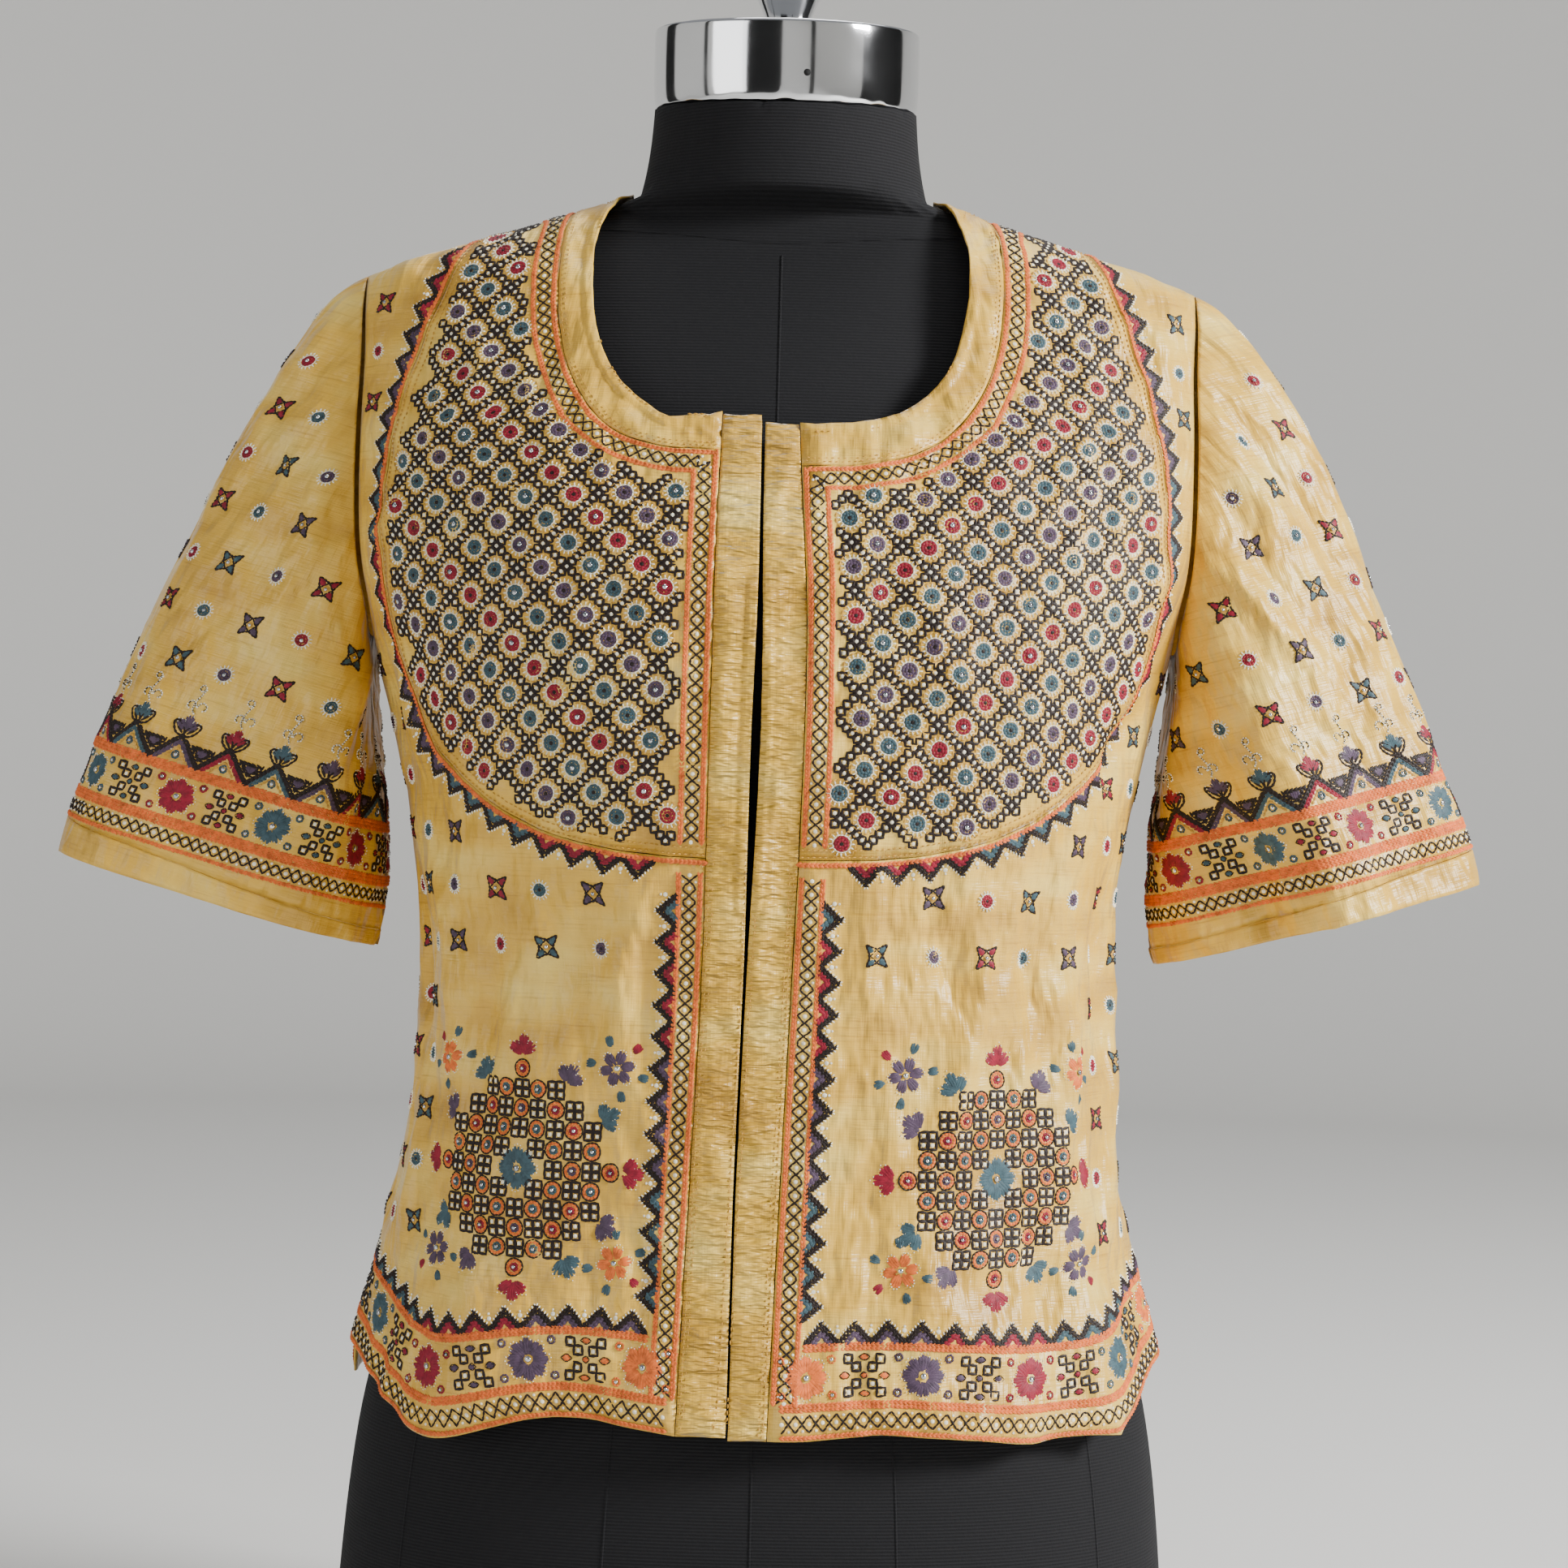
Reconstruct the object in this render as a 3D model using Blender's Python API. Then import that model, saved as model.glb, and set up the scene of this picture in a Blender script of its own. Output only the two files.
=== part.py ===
"""A choli blouse in raw silk, worn by a limbless dress form with a metal neck cap.

Metres, +Z up. The front faces -Y, so the wearer's right is at -X. The form stands on Z = 0.
A place on the blouse is an angle round the body (0 at the centre front, positive to the
wearer's left) and a height. Every panel is a grid of such places between its seams.
"""

import math

import bmesh
import bpy
import numpy as np

# Cloth and seams
CLOTH = 0.0014
SEAM_GAP = 0.0003
INSET_SHARE = 0.6
ALL_EDGES = ("foot", "head", "inner", "outer")

# Cross-sections of the blouse: half width at the side seam, depth of the front and the back
SHOULDER_COLUMNS = ("height", "front", "back")
BODY_COLUMNS = ("height", "half_width", "front", "back")
BODY_RINGS = (
    (0.140, 0.1850, 0.132, 0.137),
    (0.160, 0.1812, 0.129, 0.133),
    (0.180, 0.1770, 0.126, 0.129),
    (0.195, 0.1725, 0.123, 0.125),
    (0.220, 0.1645, 0.119, 0.119),
    (0.250, 0.1575, 0.115, 0.112),
    (0.300, 0.1515, 0.111, 0.103),
    (0.350, 0.1500, 0.112, 0.099),
    (0.390, 0.1530, 0.118, 0.100),
    (0.430, 0.1600, 0.126, 0.103),
    (0.465, 0.1680, 0.130, 0.106),
    (0.490, 0.1765, 0.128, 0.108),
    (0.520, 0.1860, 0.121, 0.109),
    (0.550, 0.1905, 0.110, 0.108),
    (0.580, 0.1920, 0.095, 0.104),
    (0.610, 0.1900, 0.079, 0.096),
    (0.630, 0.1880, 0.067, 0.086),
)
SHOULDER_NECK = (0.066, 0.6845)
SHOULDER_TIP = (0.1830, 0.6465)
SHOULDER_DEPTHS = ((0.6465, 0.0580, 0.0740), (0.6650, 0.0490, 0.0600), (0.6845, 0.0450, 0.0520))
SQUARE_BODY, SQUARE_SHOULDER = 2.35, 2.0
SQUARE_FROM, SQUARE_TO = 0.50, 0.64

# Where a point on the cloth is looked for: along a line from the body's middle, whose height
# stays below MIDDLE_TOP, between these shares of the point's distance
MIDDLE_TOP = 0.50
SEARCH_LOW, SEARCH_HIGH, SEARCH_STEPS = 0.6, 1.6, 26
FLAT_FOLD = 1e-6

# Armhole, as a loop round the side of the body
ARMHOLE_TOP, ARMHOLE_FOOT = SHOULDER_TIP[1], 0.487
ARMHOLE_FRONT, ARMHOLE_BACK = math.radians(21), math.radians(20)
ARMHOLE_ROUND = 0.75

# Neck edge, neck band and yoke seam of the fronts, from the front opening to the shoulder, as
# (across, height) points
NECK_EDGE = (
    (0.0300, 0.5752), (0.0432, 0.5760), (0.0535, 0.5800), (0.0622, 0.5874), (0.0700, 0.5966),
    (0.0752, 0.6100), (0.0785, 0.6250), (0.0797, 0.6420), (0.0790, 0.6620), (0.0745, 0.6745),
)
BAND_SEAM_RIGHT = (
    (0.0320, 0.5630), (0.0434, 0.5625), (0.0519, 0.5630), (0.0617, 0.5665), (0.0703, 0.5702),
    (0.0800, 0.5800), (0.0860, 0.5913), (0.0905, 0.6020), (0.0940, 0.6170), (0.0950, 0.6360),
    (0.0943, 0.6574), (0.0925, 0.6690),
)
BAND_SEAM_LEFT = (
    (0.0270, 0.5565), (0.0400, 0.5572), (0.0520, 0.5590), (0.0640, 0.5640), (0.0740, 0.5715),
    (0.0820, 0.5815), (0.0880, 0.5930), (0.0920, 0.6050), (0.0945, 0.6200), (0.0955, 0.6370),
    (0.0945, 0.6570), (0.0925, 0.6690),
)
BAND_SHOULDER = 0.0900
YOKE_FOOT = (
    (0.0500, 0.3960), (0.0700, 0.3990), (0.0950, 0.4055), (0.1180, 0.4185),
)
YOKE_CORNER = (0.1390, 0.4380)
YOKE_SIDE = (
    (0.1540, 0.4660), (0.1600, 0.4880), (0.1635, 0.5100), (0.1655, 0.5350), (0.1650, 0.5550),
    (0.1620, 0.5750), (0.1580, 0.5940), (0.1530, 0.6100), (0.1475, 0.6280), (0.1410, 0.6450),
)
YOKE_SHOULDER = 0.1310
YOKE_FOOT_HEIGHT = 0.3952
HEM_CORNER_TURN = math.radians(4)
HEM_START = 1e-3

# Front opening and plackets: the opening's place, its gaping, and each placket's outer seam
OPENING_COLUMNS = ("height", "opening", "gape", "seam_right", "seam_left")
OPENING = (
    (0.140, -0.0104, 0.0006, -0.0318, 0.0052),
    (0.250, -0.0098, 0.0008, -0.0285, 0.0085),
    (0.350, -0.0075, 0.0010, -0.0252, 0.0117),
    (0.410, -0.0060, 0.0030, -0.0245, 0.0135),
    (0.450, -0.0052, 0.0038, -0.0242, 0.0143),
    (0.490, -0.0048, 0.0022, -0.0240, 0.0144),
    (0.530, -0.0052, 0.0010, -0.0235, 0.0120),
    (0.600, -0.0056, 0.0012, -0.0222, 0.0080),
)
PLACKET_TOP_RIGHT, PLACKET_TOP_LEFT = 0.5800, 0.5752

# Hem height round each front, by the angle from the centre front in degrees
HEM_COLUMNS = ("angle", "right", "left")
HEM = (
    (0, 0.1585, 0.1592), (7, 0.1603, 0.1592), (12, 0.1622, 0.1630), (18, 0.1653, 0.1612),
    (23, 0.1660, 0.1605), (28, 0.1632, 0.1588), (38, 0.1535, 0.1560), (44, 0.1505, 0.1602),
    (51, 0.1580, 0.1560), (59, 0.1650, 0.1645), (67, 0.1725, 0.1742), (90, 0.1850, 0.1850),
)
HEM_BACK, HEM_BACK_WAVE, HEM_BACK_WAVES = 0.1600, 0.0030, 5
HEM_SIDE_TURN, HEM_BACK_TURN = 90, 125

# Neck edge and band seam of the back, from its middle to the shoulder, as (across, height) points
BACK_NECK_EDGE = (
    (0.0000, 0.6260), (0.0220, 0.6268), (0.0420, 0.6310), (0.0570, 0.6400), (0.0665, 0.6530),
    (0.0700, 0.6680),
)
BACK_BAND_SEAM = (
    (0.0000, 0.6110), (0.0230, 0.6118), (0.0460, 0.6160), (0.0650, 0.6255), (0.0790, 0.6400),
    (0.0880, 0.6580),
)

# Folds that fall in the body: ridges are positive, troughs are negative. A row gives its angle
# at the top and at the foot, the heights of its top and its foot, its half angle and its depth.
BODY_FOLDS = (
    (-20, -21, 0.330, 0.120, 6.0, -0.0045),
    (-38, -43, 0.340, 0.120, 7.0, 0.0050),
    (-62, -66, 0.380, 0.140, 6.5, -0.0035),
    (11, 12, 0.300, 0.120, 4.5, -0.0030),
    (24, 26, 0.340, 0.120, 6.0, 0.0035),
    (40, 44, 0.330, 0.120, 4.5, -0.0045),
    (54, 53, 0.330, 0.120, 5.5, 0.0045),
    (72, 70, 0.380, 0.140, 6.5, -0.0030),
    (-74, -62, 0.520, 0.400, 7.0, -0.0030),
    (76, 64, 0.520, 0.400, 7.0, -0.0035),
    (112, 116, 0.360, 0.120, 7.0, 0.0040),
    (134, 138, 0.340, 0.120, 7.5, -0.0045),
    (160, 158, 0.330, 0.120, 7.0, 0.0040),
    (180, 180, 0.350, 0.120, 7.0, -0.0035),
    (-158, -160, 0.330, 0.120, 7.0, 0.0040),
    (-135, -137, 0.340, 0.120, 7.5, -0.0045),
    (-112, -114, 0.360, 0.120, 7.0, 0.0040),
)

# Sleeve: its cuff, and how the cloth leaves the armhole at the top and under the arm
CUFF_CENTRE = (0.2425, -0.0020, 0.3700)
CUFF_HALF_WIDTH, CUFF_HALF_DEPTH = 0.0722, 0.0500
CUFF_TILT = math.radians(15.6)
CUFF_BAND = 0.0160
SLEEVE_START_TOP = (0.070, 0.0, 0.0)
SLEEVE_START_UNDER = (0.014, 0.0, -0.100)
SLEEVE_START_SPREAD = 0.018
SLEEVE_LAP = 0.0016
SLEEVE_CLEAR = 0.0025
SLEEVE_CLEAR_POWER = 1.5
END_STEP = 0.1

# Folds of the sleeves. A row gives its turn at the armhole and at the cuff, the shares of the
# sleeve's length where it starts and ends, its half turn and its depth.
SLEEVE_FOLDS_RIGHT = (
    (100, 78, 0.22, 1.30, 17, -0.0060),
    (135, 118, 0.10, 1.30, 16, 0.0050),
    (50, 40, 0.45, 1.30, 18, 0.0040),
    (160, 158, 0.10, 0.90, 14, -0.0050),
    (-60, -50, 0.40, 1.30, 20, 0.0045),
    (-95, -92, 0.20, 1.30, 17, -0.0060),
    (-135, -128, 0.15, 1.30, 18, 0.0045),
)
SLEEVE_FOLDS_LEFT = (
    (150, 112, 0.10, 1.40, 14, -0.0120),
    (122, 84, 0.12, 1.40, 14, 0.0070),
    (80, 52, 0.30, 1.30, 15, -0.0055),
    (40, 25, 0.50, 1.30, 16, 0.0040),
    (-60, -50, 0.40, 1.30, 20, 0.0045),
    (-95, -92, 0.20, 1.30, 17, -0.0060),
    (-135, -128, 0.15, 1.30, 18, 0.0045),
)

# How folds fade in and out along their length
BULGE_TOP = 0.5
BODY_FADE, SLEEVE_FADE, SLEEVE_FADE_POWER = 0.8, 0.55, 0.7

# The dress form: height, half width, front and back of each cross-section
FORM_RINGS = (
    (0.000, 0.1855, 0.1230, 0.1310),
    (0.040, 0.1840, 0.1225, 0.1300),
    (0.078, 0.1815, 0.1205, 0.1275),
    (0.115, 0.1785, 0.1180, 0.1240),
    (0.150, 0.1740, 0.1145, 0.1190),
    (0.180, 0.1670, 0.1100, 0.1130),
    (0.220, 0.1530, 0.1030, 0.1030),
    (0.265, 0.1400, 0.0970, 0.0910),
    (0.310, 0.1330, 0.0940, 0.0850),
    (0.360, 0.1340, 0.0970, 0.0840),
    (0.410, 0.1420, 0.1080, 0.0880),
    (0.450, 0.1500, 0.1190, 0.0930),
    (0.480, 0.1560, 0.1210, 0.0970),
    (0.520, 0.1630, 0.1130, 0.0990),
    (0.560, 0.1690, 0.0960, 0.0970),
    (0.595, 0.1725, 0.0790, 0.0915),
    (0.622, 0.1710, 0.0600, 0.0770),
    (0.640, 0.1660, 0.0480, 0.0640),
)
FORM_UNDER_SHOULDER = 0.0072
FORM_SHOULDER_HEIGHTS = (0.6530, 0.6600, 0.6670, 0.6745)
FORM_SHOULDER_INSET = 0.0150
FORM_SQUARE_FROM, FORM_SQUARE_TO = 0.44, 0.60
NECK_RINGS = (
    (0.6830, 0.0640, 0.0520, 0.0600),
    (0.6930, 0.0615, 0.0530, 0.0605),
    (0.7080, 0.0592, 0.0535, 0.0610),
    (0.7240, 0.0582, 0.0542, 0.0622),
)
NECK_TILT = math.radians(6)
NECK_TILT_FROM, NECK_TILT_TO = 0.675, 0.715
NECK_CENTRE = 0.004

# Metal cap and finial
CAP_RADIUS, CAP_HEIGHT, CAP_EDGE = 0.0589, 0.0350, 0.0016
CAP_EDGE_MIDDLE = 0.3 * CAP_EDGE
FINIAL_PROFILE = (
    (0.0095, 0.0000), (0.0095, 0.0040), (0.0112, 0.0080), (0.0140, 0.0140), (0.0165, 0.0200),
    (0.0170, 0.0250), (0.0152, 0.0310), (0.0100, 0.0355), (0.0045, 0.0370),
)

# How finely each piece is divided
ROWS_LOWER, ROWS_BREAST, ROWS_NECK = 12, 6, 8
ROWS_UPPER = ROWS_BREAST + ROWS_NECK
COLUMNS_FRONT, COLUMNS_SIDE, COLUMNS_BAND = 9, 6, 2
COLUMNS_BACK = 26
ROWS_SLEEVE = 11
FORM_SIDES, CAP_SIDES = 40, 64
DENSE_STEPS = 12
SHARP_ANGLE = math.radians(50)
STEP = 1e-4

# Colour, roughness and metallic value of each material
SILK = ((0.66, 0.46, 0.15), 0.5, 0.0)
JERSEY = ((0.012, 0.012, 0.014), 0.85, 0.0)
CHROME = ((0.75, 0.75, 0.76), 0.08, 1.0)


def column(table, columns, name):
    """One named column of a table."""
    return [row[columns.index(name)] for row in table]


def smooth_through(places, values, at):
    """A smooth curve through a table's values that doesn't overshoot them."""
    places, values = np.asarray(places, float), np.asarray(values, float)
    at = float(np.clip(at, places[0], places[-1]))
    gaps = np.diff(places)
    slopes = np.diff(values) / gaps
    tangents = np.concatenate([slopes[:1], np.zeros(len(slopes) - 1), slopes[-1:]])
    for i in range(1, len(slopes)):
        if slopes[i - 1] * slopes[i] > 0:
            first, second = 2 * gaps[i] + gaps[i - 1], gaps[i] + 2 * gaps[i - 1]
            tangents[i] = (first + second) / (first / slopes[i - 1] + second / slopes[i])
    i = min(int(np.searchsorted(places, at, side="right")) - 1, len(gaps) - 1)
    t = (at - places[i]) / gaps[i]
    return float(
        (1 + 2 * t) * (1 - t) ** 2 * values[i]
        + t * (1 - t) ** 2 * gaps[i] * tangents[i]
        + t * t * (3 - 2 * t) * values[i + 1]
        + t * t * (t - 1) * gaps[i] * tangents[i + 1]
    )


def ease(value, low, high):
    """0 below low, 1 above high, and a smooth change between them."""
    t = min(max((value - low) / (high - low), 0.0), 1.0)
    return t * t * (3 - 2 * t)


def shoulder_half_width(height):
    """Half width along the straight shoulder seam."""
    share = (SHOULDER_NECK[1] - height) / (SHOULDER_NECK[1] - SHOULDER_TIP[1])
    return SHOULDER_NECK[0] + share * (SHOULDER_TIP[0] - SHOULDER_NECK[0])


def ring(height):
    """Half width, front depth, back depth and squareness of the blouse at a height."""
    heights, fronts, backs = (
        column(BODY_RINGS, BODY_COLUMNS, name) + column(SHOULDER_DEPTHS, SHOULDER_COLUMNS, name)
        for name in ("height", "front", "back")
    )
    if height >= SHOULDER_TIP[1]:
        wide = shoulder_half_width(height)
    else:
        lower = column(BODY_RINGS, BODY_COLUMNS, "height") + [SHOULDER_TIP[1]]
        widths = column(BODY_RINGS, BODY_COLUMNS, "half_width") + [SHOULDER_TIP[0]]
        wide = smooth_through(lower, widths, height)
    square = SQUARE_BODY + (SQUARE_SHOULDER - SQUARE_BODY) * ease(height, SQUARE_FROM, SQUARE_TO)
    return (
        wide,
        smooth_through(heights, fronts, height),
        smooth_through(heights, backs, height),
        square,
    )


def around(angle, wide, front, back, square):
    """The point at an angle round a rounded cross-section."""
    across, along = math.sin(angle), math.cos(angle)
    depth = front if along > 0 else back
    power = 2 / square
    return (
        wide * math.copysign(abs(across) ** power, across),
        -depth * math.copysign(abs(along) ** power, along),
    )


def angle_at(across, height):
    """The angle round the body of a place on the fronts that is so far from the middle."""
    wide, _, _, square = ring(height)
    share = min(abs(across) / wide, 1.0)
    return math.copysign(math.asin(share ** (square / 2)), across)


def fold_height(angle, height):
    """How far the folds lift or sink the cloth."""
    total = 0.0
    for turn_top, turn_foot, top, foot, half, depth in BODY_FOLDS:
        share = min(max((top - height) / (top - foot), 0.0), 1.0)
        middle = math.radians(turn_top + share * (turn_foot - turn_top))
        away = (angle - middle + math.pi) % (2 * math.pi) - math.pi
        fade = math.sin(math.pi * share) if top > BULGE_TOP else ease(share, 0.0, BODY_FADE)
        total += depth * fade * math.exp(-((away / math.radians(half)) ** 2))
    return total


def bare_body(angle, height):
    """A point on the middle of the cloth, before its folds."""
    return np.array([*around(angle, *ring(height)), height])


def surface_normal(place, u, v):
    """The direction out of a surface, from small steps along it."""
    along_u = place(u + STEP, v) - place(u - STEP, v)
    along_v = place(u, v + STEP) - place(u, v - STEP)
    normal = np.cross(along_u, along_v)
    return normal / np.linalg.norm(normal)


def body(angle, height):
    """A point on the middle of the cloth."""
    lift = fold_height(angle, height)
    if abs(lift) < FLAT_FOLD:
        return bare_body(angle, height)
    return bare_body(angle, height) + lift * surface_normal(bare_body, angle, height)


def spaced(points, count):
    """Places on the body at even distances along a smooth line through (across, height) points."""
    points = np.asarray(points, float)
    steps = np.linalg.norm(np.diff(points, axis=0), axis=1)
    along = np.concatenate([[0], np.cumsum(steps)])
    fine = np.linspace(0, along[-1], DENSE_STEPS * count)
    dense = np.array([[smooth_through(along, points[:, k], at) for k in range(2)] for at in fine])
    places = np.array([[angle_at(across, height), height] for across, height in dense])
    solid = np.array([bare_body(*place) for place in places])
    run = np.concatenate([[0], np.cumsum(np.linalg.norm(np.diff(solid, axis=0), axis=1))])
    wanted = np.linspace(0, run[-1], count + 1)
    kept = np.array([[np.interp(at, run, dense[:, k]) for k in range(2)] for at in wanted])
    return np.array([[angle_at(across, height), height] for across, height in kept])


def seam_line(table, start, end, count):
    """A seam of a front as (angle, height) places, from its (across, height) points."""
    return spaced([start, *table, end], count)


def outside(point):
    """Above 0 where a point lies outside the body, and below 0 where it lies inside."""
    wide, front, back, square = ring(point[2])
    depth = front if point[1] < 0 else back
    return (abs(point[0]) / wide) ** square + (abs(point[1]) / depth) ** square - 1


def place_near(point):
    """The place on the body that a point comes to when it is moved away from the middle."""
    middle = np.array([0.0, 0.0, min(point[2], MIDDLE_TOP)])
    low, high = SEARCH_LOW, SEARCH_HIGH
    for _ in range(SEARCH_STEPS):
        share = (low + high) / 2
        if outside(middle + share * (point - middle)) > 0:
            high = share
        else:
            low = share
    x, y, height = middle + share * (point - middle)
    wide, front, back, square = ring(height)
    depth = front if y < 0 else back
    across = math.copysign((abs(x) / wide) ** (square / 2), x)
    along = math.copysign((abs(y) / depth) ** (square / 2), -y)
    return math.atan2(across, along), height


def patch(foot, head, inner, outer):
    """A grid of places that fills four seams: rows go up, columns go from inner to outer."""
    rows, columns = len(inner), len(foot)
    foot_3d, head_3d, inner_3d, outer_3d = (
        np.array([bare_body(*place) for place in line]) for line in (foot, head, inner, outer)
    )
    grid = np.zeros((rows, columns, 2))
    grid[0], grid[-1], grid[:, 0], grid[:, -1] = foot, head, inner, outer
    for i in range(1, rows - 1):
        for j in range(1, columns - 1):
            t, s = i / (rows - 1), j / (columns - 1)
            grid[i, j] = place_near(
                (1 - t) * foot_3d[j]
                + t * head_3d[j]
                + (1 - s) * inner_3d[i]
                + s * outer_3d[i]
                - (1 - t) * ((1 - s) * foot_3d[0] + s * foot_3d[-1])
                - t * ((1 - s) * head_3d[0] + s * head_3d[-1])
            )
    return grid


def between(start, end, count):
    """Places at even steps on a straight run."""
    return np.array([np.add(start, np.subtract(end, start) * i / count) for i in range(count + 1)])


def hem_height(angle):
    """The height of the hem at an angle round the body."""
    turn = math.degrees(abs(angle))
    if turn > HEM_SIDE_TURN:
        wave = HEM_BACK_WAVE * math.sin(2 * HEM_BACK_WAVES * (angle - math.pi / 2))
        side = column(HEM, HEM_COLUMNS, "left")[-1]
        share = ease(turn, HEM_SIDE_TURN, HEM_BACK_TURN)
        return side + share * (HEM_BACK + wave - side)
    name = "left" if angle > 0 else "right"
    return smooth_through(
        column(HEM, HEM_COLUMNS, "angle"), column(HEM, HEM_COLUMNS, name), turn
    )


def armhole(turn):
    """The armhole's place at a turn: 0 at the shoulder, pi under the arm, negative at the back."""
    middle, half = (ARMHOLE_TOP + ARMHOLE_FOOT) / 2, (ARMHOLE_TOP - ARMHOLE_FOOT) / 2
    depth = ARMHOLE_FRONT if turn >= 0 else ARMHOLE_BACK
    swell = math.copysign(abs(math.sin(turn)) ** ARMHOLE_ROUND, turn)
    return math.pi / 2 - depth * swell, middle + half * math.cos(turn)


def armhole_turns(side):
    """The turns of the armhole's corners, from under the arm up to the shoulder."""
    return [side * math.pi * (1 - i / ROWS_UPPER) for i in range(ROWS_UPPER + 1)]


def side_seam():
    """Places up the side seam, from the hem to the armhole."""
    return between(
        (math.pi / 2, hem_height(math.pi / 2)), (math.pi / 2, ARMHOLE_FOOT), ROWS_LOWER
    )


def opening_value(name, height):
    """A measure of the front opening at a height."""
    return smooth_through(
        column(OPENING, OPENING_COLUMNS, "height"), column(OPENING, OPENING_COLUMNS, name), height
    )


def hem_run(start, end, count):
    """Places along the hem between two angles."""
    return np.array(
        [[angle, hem_height(angle)] for angle in np.linspace(start, end, count + 1)]
    )


def front_side(side):
    """The grids of one front, with side 1 for the wearer's left and -1 for the right."""
    name = "left" if side > 0 else "right"
    seam = f"seam_{name}"
    band_table = BAND_SEAM_LEFT if side > 0 else BAND_SEAM_RIGHT
    band_foot = band_table[0][1]
    neck_foot = PLACKET_TOP_LEFT if side > 0 else PLACKET_TOP_RIGHT

    def seam_place(height):
        return side * opening_value(seam, height), height

    def seam_angle(height):
        return angle_at(opening_value(seam, height), height)

    hem_seam = seam_angle(hem_height(side * HEM_START))
    corner = (side * angle_at(*YOKE_CORNER), YOKE_CORNER[1])
    hem_corner = corner[0] - side * HEM_CORNER_TURN
    lower_heights = np.linspace(hem_height(hem_seam), YOKE_FOOT_HEIGHT, ROWS_LOWER + 1)
    breast_heights = np.linspace(YOKE_FOOT_HEIGHT, band_foot, ROWS_BREAST + 1)
    lower_seam = np.array([[seam_angle(height), height] for height in lower_heights])
    breast_seam = np.array([[seam_angle(height), height] for height in breast_heights])
    to_side = np.array([side, 1.0])
    yoke_foot = to_side * seam_line(
        YOKE_FOOT, seam_place(YOKE_FOOT_HEIGHT), YOKE_CORNER, COLUMNS_FRONT
    )
    yoke_foot[0] = lower_seam[-1]
    shoulder_height = height_on_shoulder(YOKE_SHOULDER)
    yoke_side = to_side * seam_line(
        YOKE_SIDE, YOKE_CORNER, (YOKE_SHOULDER, shoulder_height), ROWS_UPPER
    )
    band_height = height_on_shoulder(BAND_SHOULDER)
    band_seam = to_side * seam_line(
        band_table[1:], seam_place(band_foot), (BAND_SHOULDER, band_height), ROWS_NECK
    )
    band_seam[0] = breast_seam[-1]
    neck_edge = to_side * seam_line(NECK_EDGE, seam_place(neck_foot), SHOULDER_NECK, ROWS_NECK)
    neck_edge[0] = [seam_angle(neck_foot), neck_foot]
    shoulder = side * math.pi / 2
    tip = (shoulder, SHOULDER_TIP[1])
    side_places = side_seam() * to_side
    side_places[:, 1] = np.linspace(hem_height(shoulder), ARMHOLE_FOOT, ROWS_LOWER + 1)
    arm = to_side * np.array([armhole(turn) for turn in armhole_turns(1)])
    under = patch(
        hem_run(hem_seam, hem_corner, COLUMNS_FRONT), yoke_foot, lower_seam,
        between((hem_corner, hem_height(hem_corner)), corner, ROWS_LOWER),
    )
    outer = patch(
        hem_run(hem_corner, shoulder, COLUMNS_SIDE),
        between((shoulder, shoulder_height), tip, COLUMNS_SIDE),
        np.concatenate([under[:, -1], yoke_side[1:]]),
        np.concatenate([side_places, arm[1:]]),
    )
    yoke = patch(
        yoke_foot,
        between((shoulder, band_height), (shoulder, shoulder_height), COLUMNS_FRONT),
        np.concatenate([breast_seam, band_seam[1:]]),
        yoke_side,
    )
    band = patch(
        between(neck_edge[0], band_seam[0], COLUMNS_BAND),
        between((shoulder, SHOULDER_NECK[1]), (shoulder, band_height), COLUMNS_BAND),
        neck_edge,
        band_seam,
    )
    placket_seam = np.concatenate([lower_seam, breast_seam[1:], [neck_edge[0]]])

    def edge_angle(height):
        across = opening_value("opening", height) + side * opening_value("gape", height) / 2
        return angle_at(across, height)

    placket_edge = np.array([[edge_angle(height), height] for height in placket_seam[:, 1]])
    placket = patch(
        between(placket_edge[0], placket_seam[0], COLUMNS_BAND),
        between(placket_edge[-1], placket_seam[-1], COLUMNS_BAND),
        placket_edge,
        placket_seam,
    )
    return {"front": (under, outer), "yoke": (yoke,), "neck_band": (band,), "placket": (placket,)}


def height_on_shoulder(across):
    """The height of the shoulder seam at a distance from the middle."""
    share = (across - SHOULDER_NECK[0]) / (SHOULDER_TIP[0] - SHOULDER_NECK[0])
    return SHOULDER_NECK[1] + share * (SHOULDER_TIP[1] - SHOULDER_NECK[1])


def back_line(table, shoulder, count):
    """A line across the back from one shoulder to the other, from half of its points."""
    half = spaced([*table, shoulder], count // 2)
    left = [[math.pi - angle, height] for angle, height in half[::-1]]
    right = [[2 * math.pi - angle, height] for angle, height in left[-2::-1]]
    return np.array(left + right)


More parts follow.
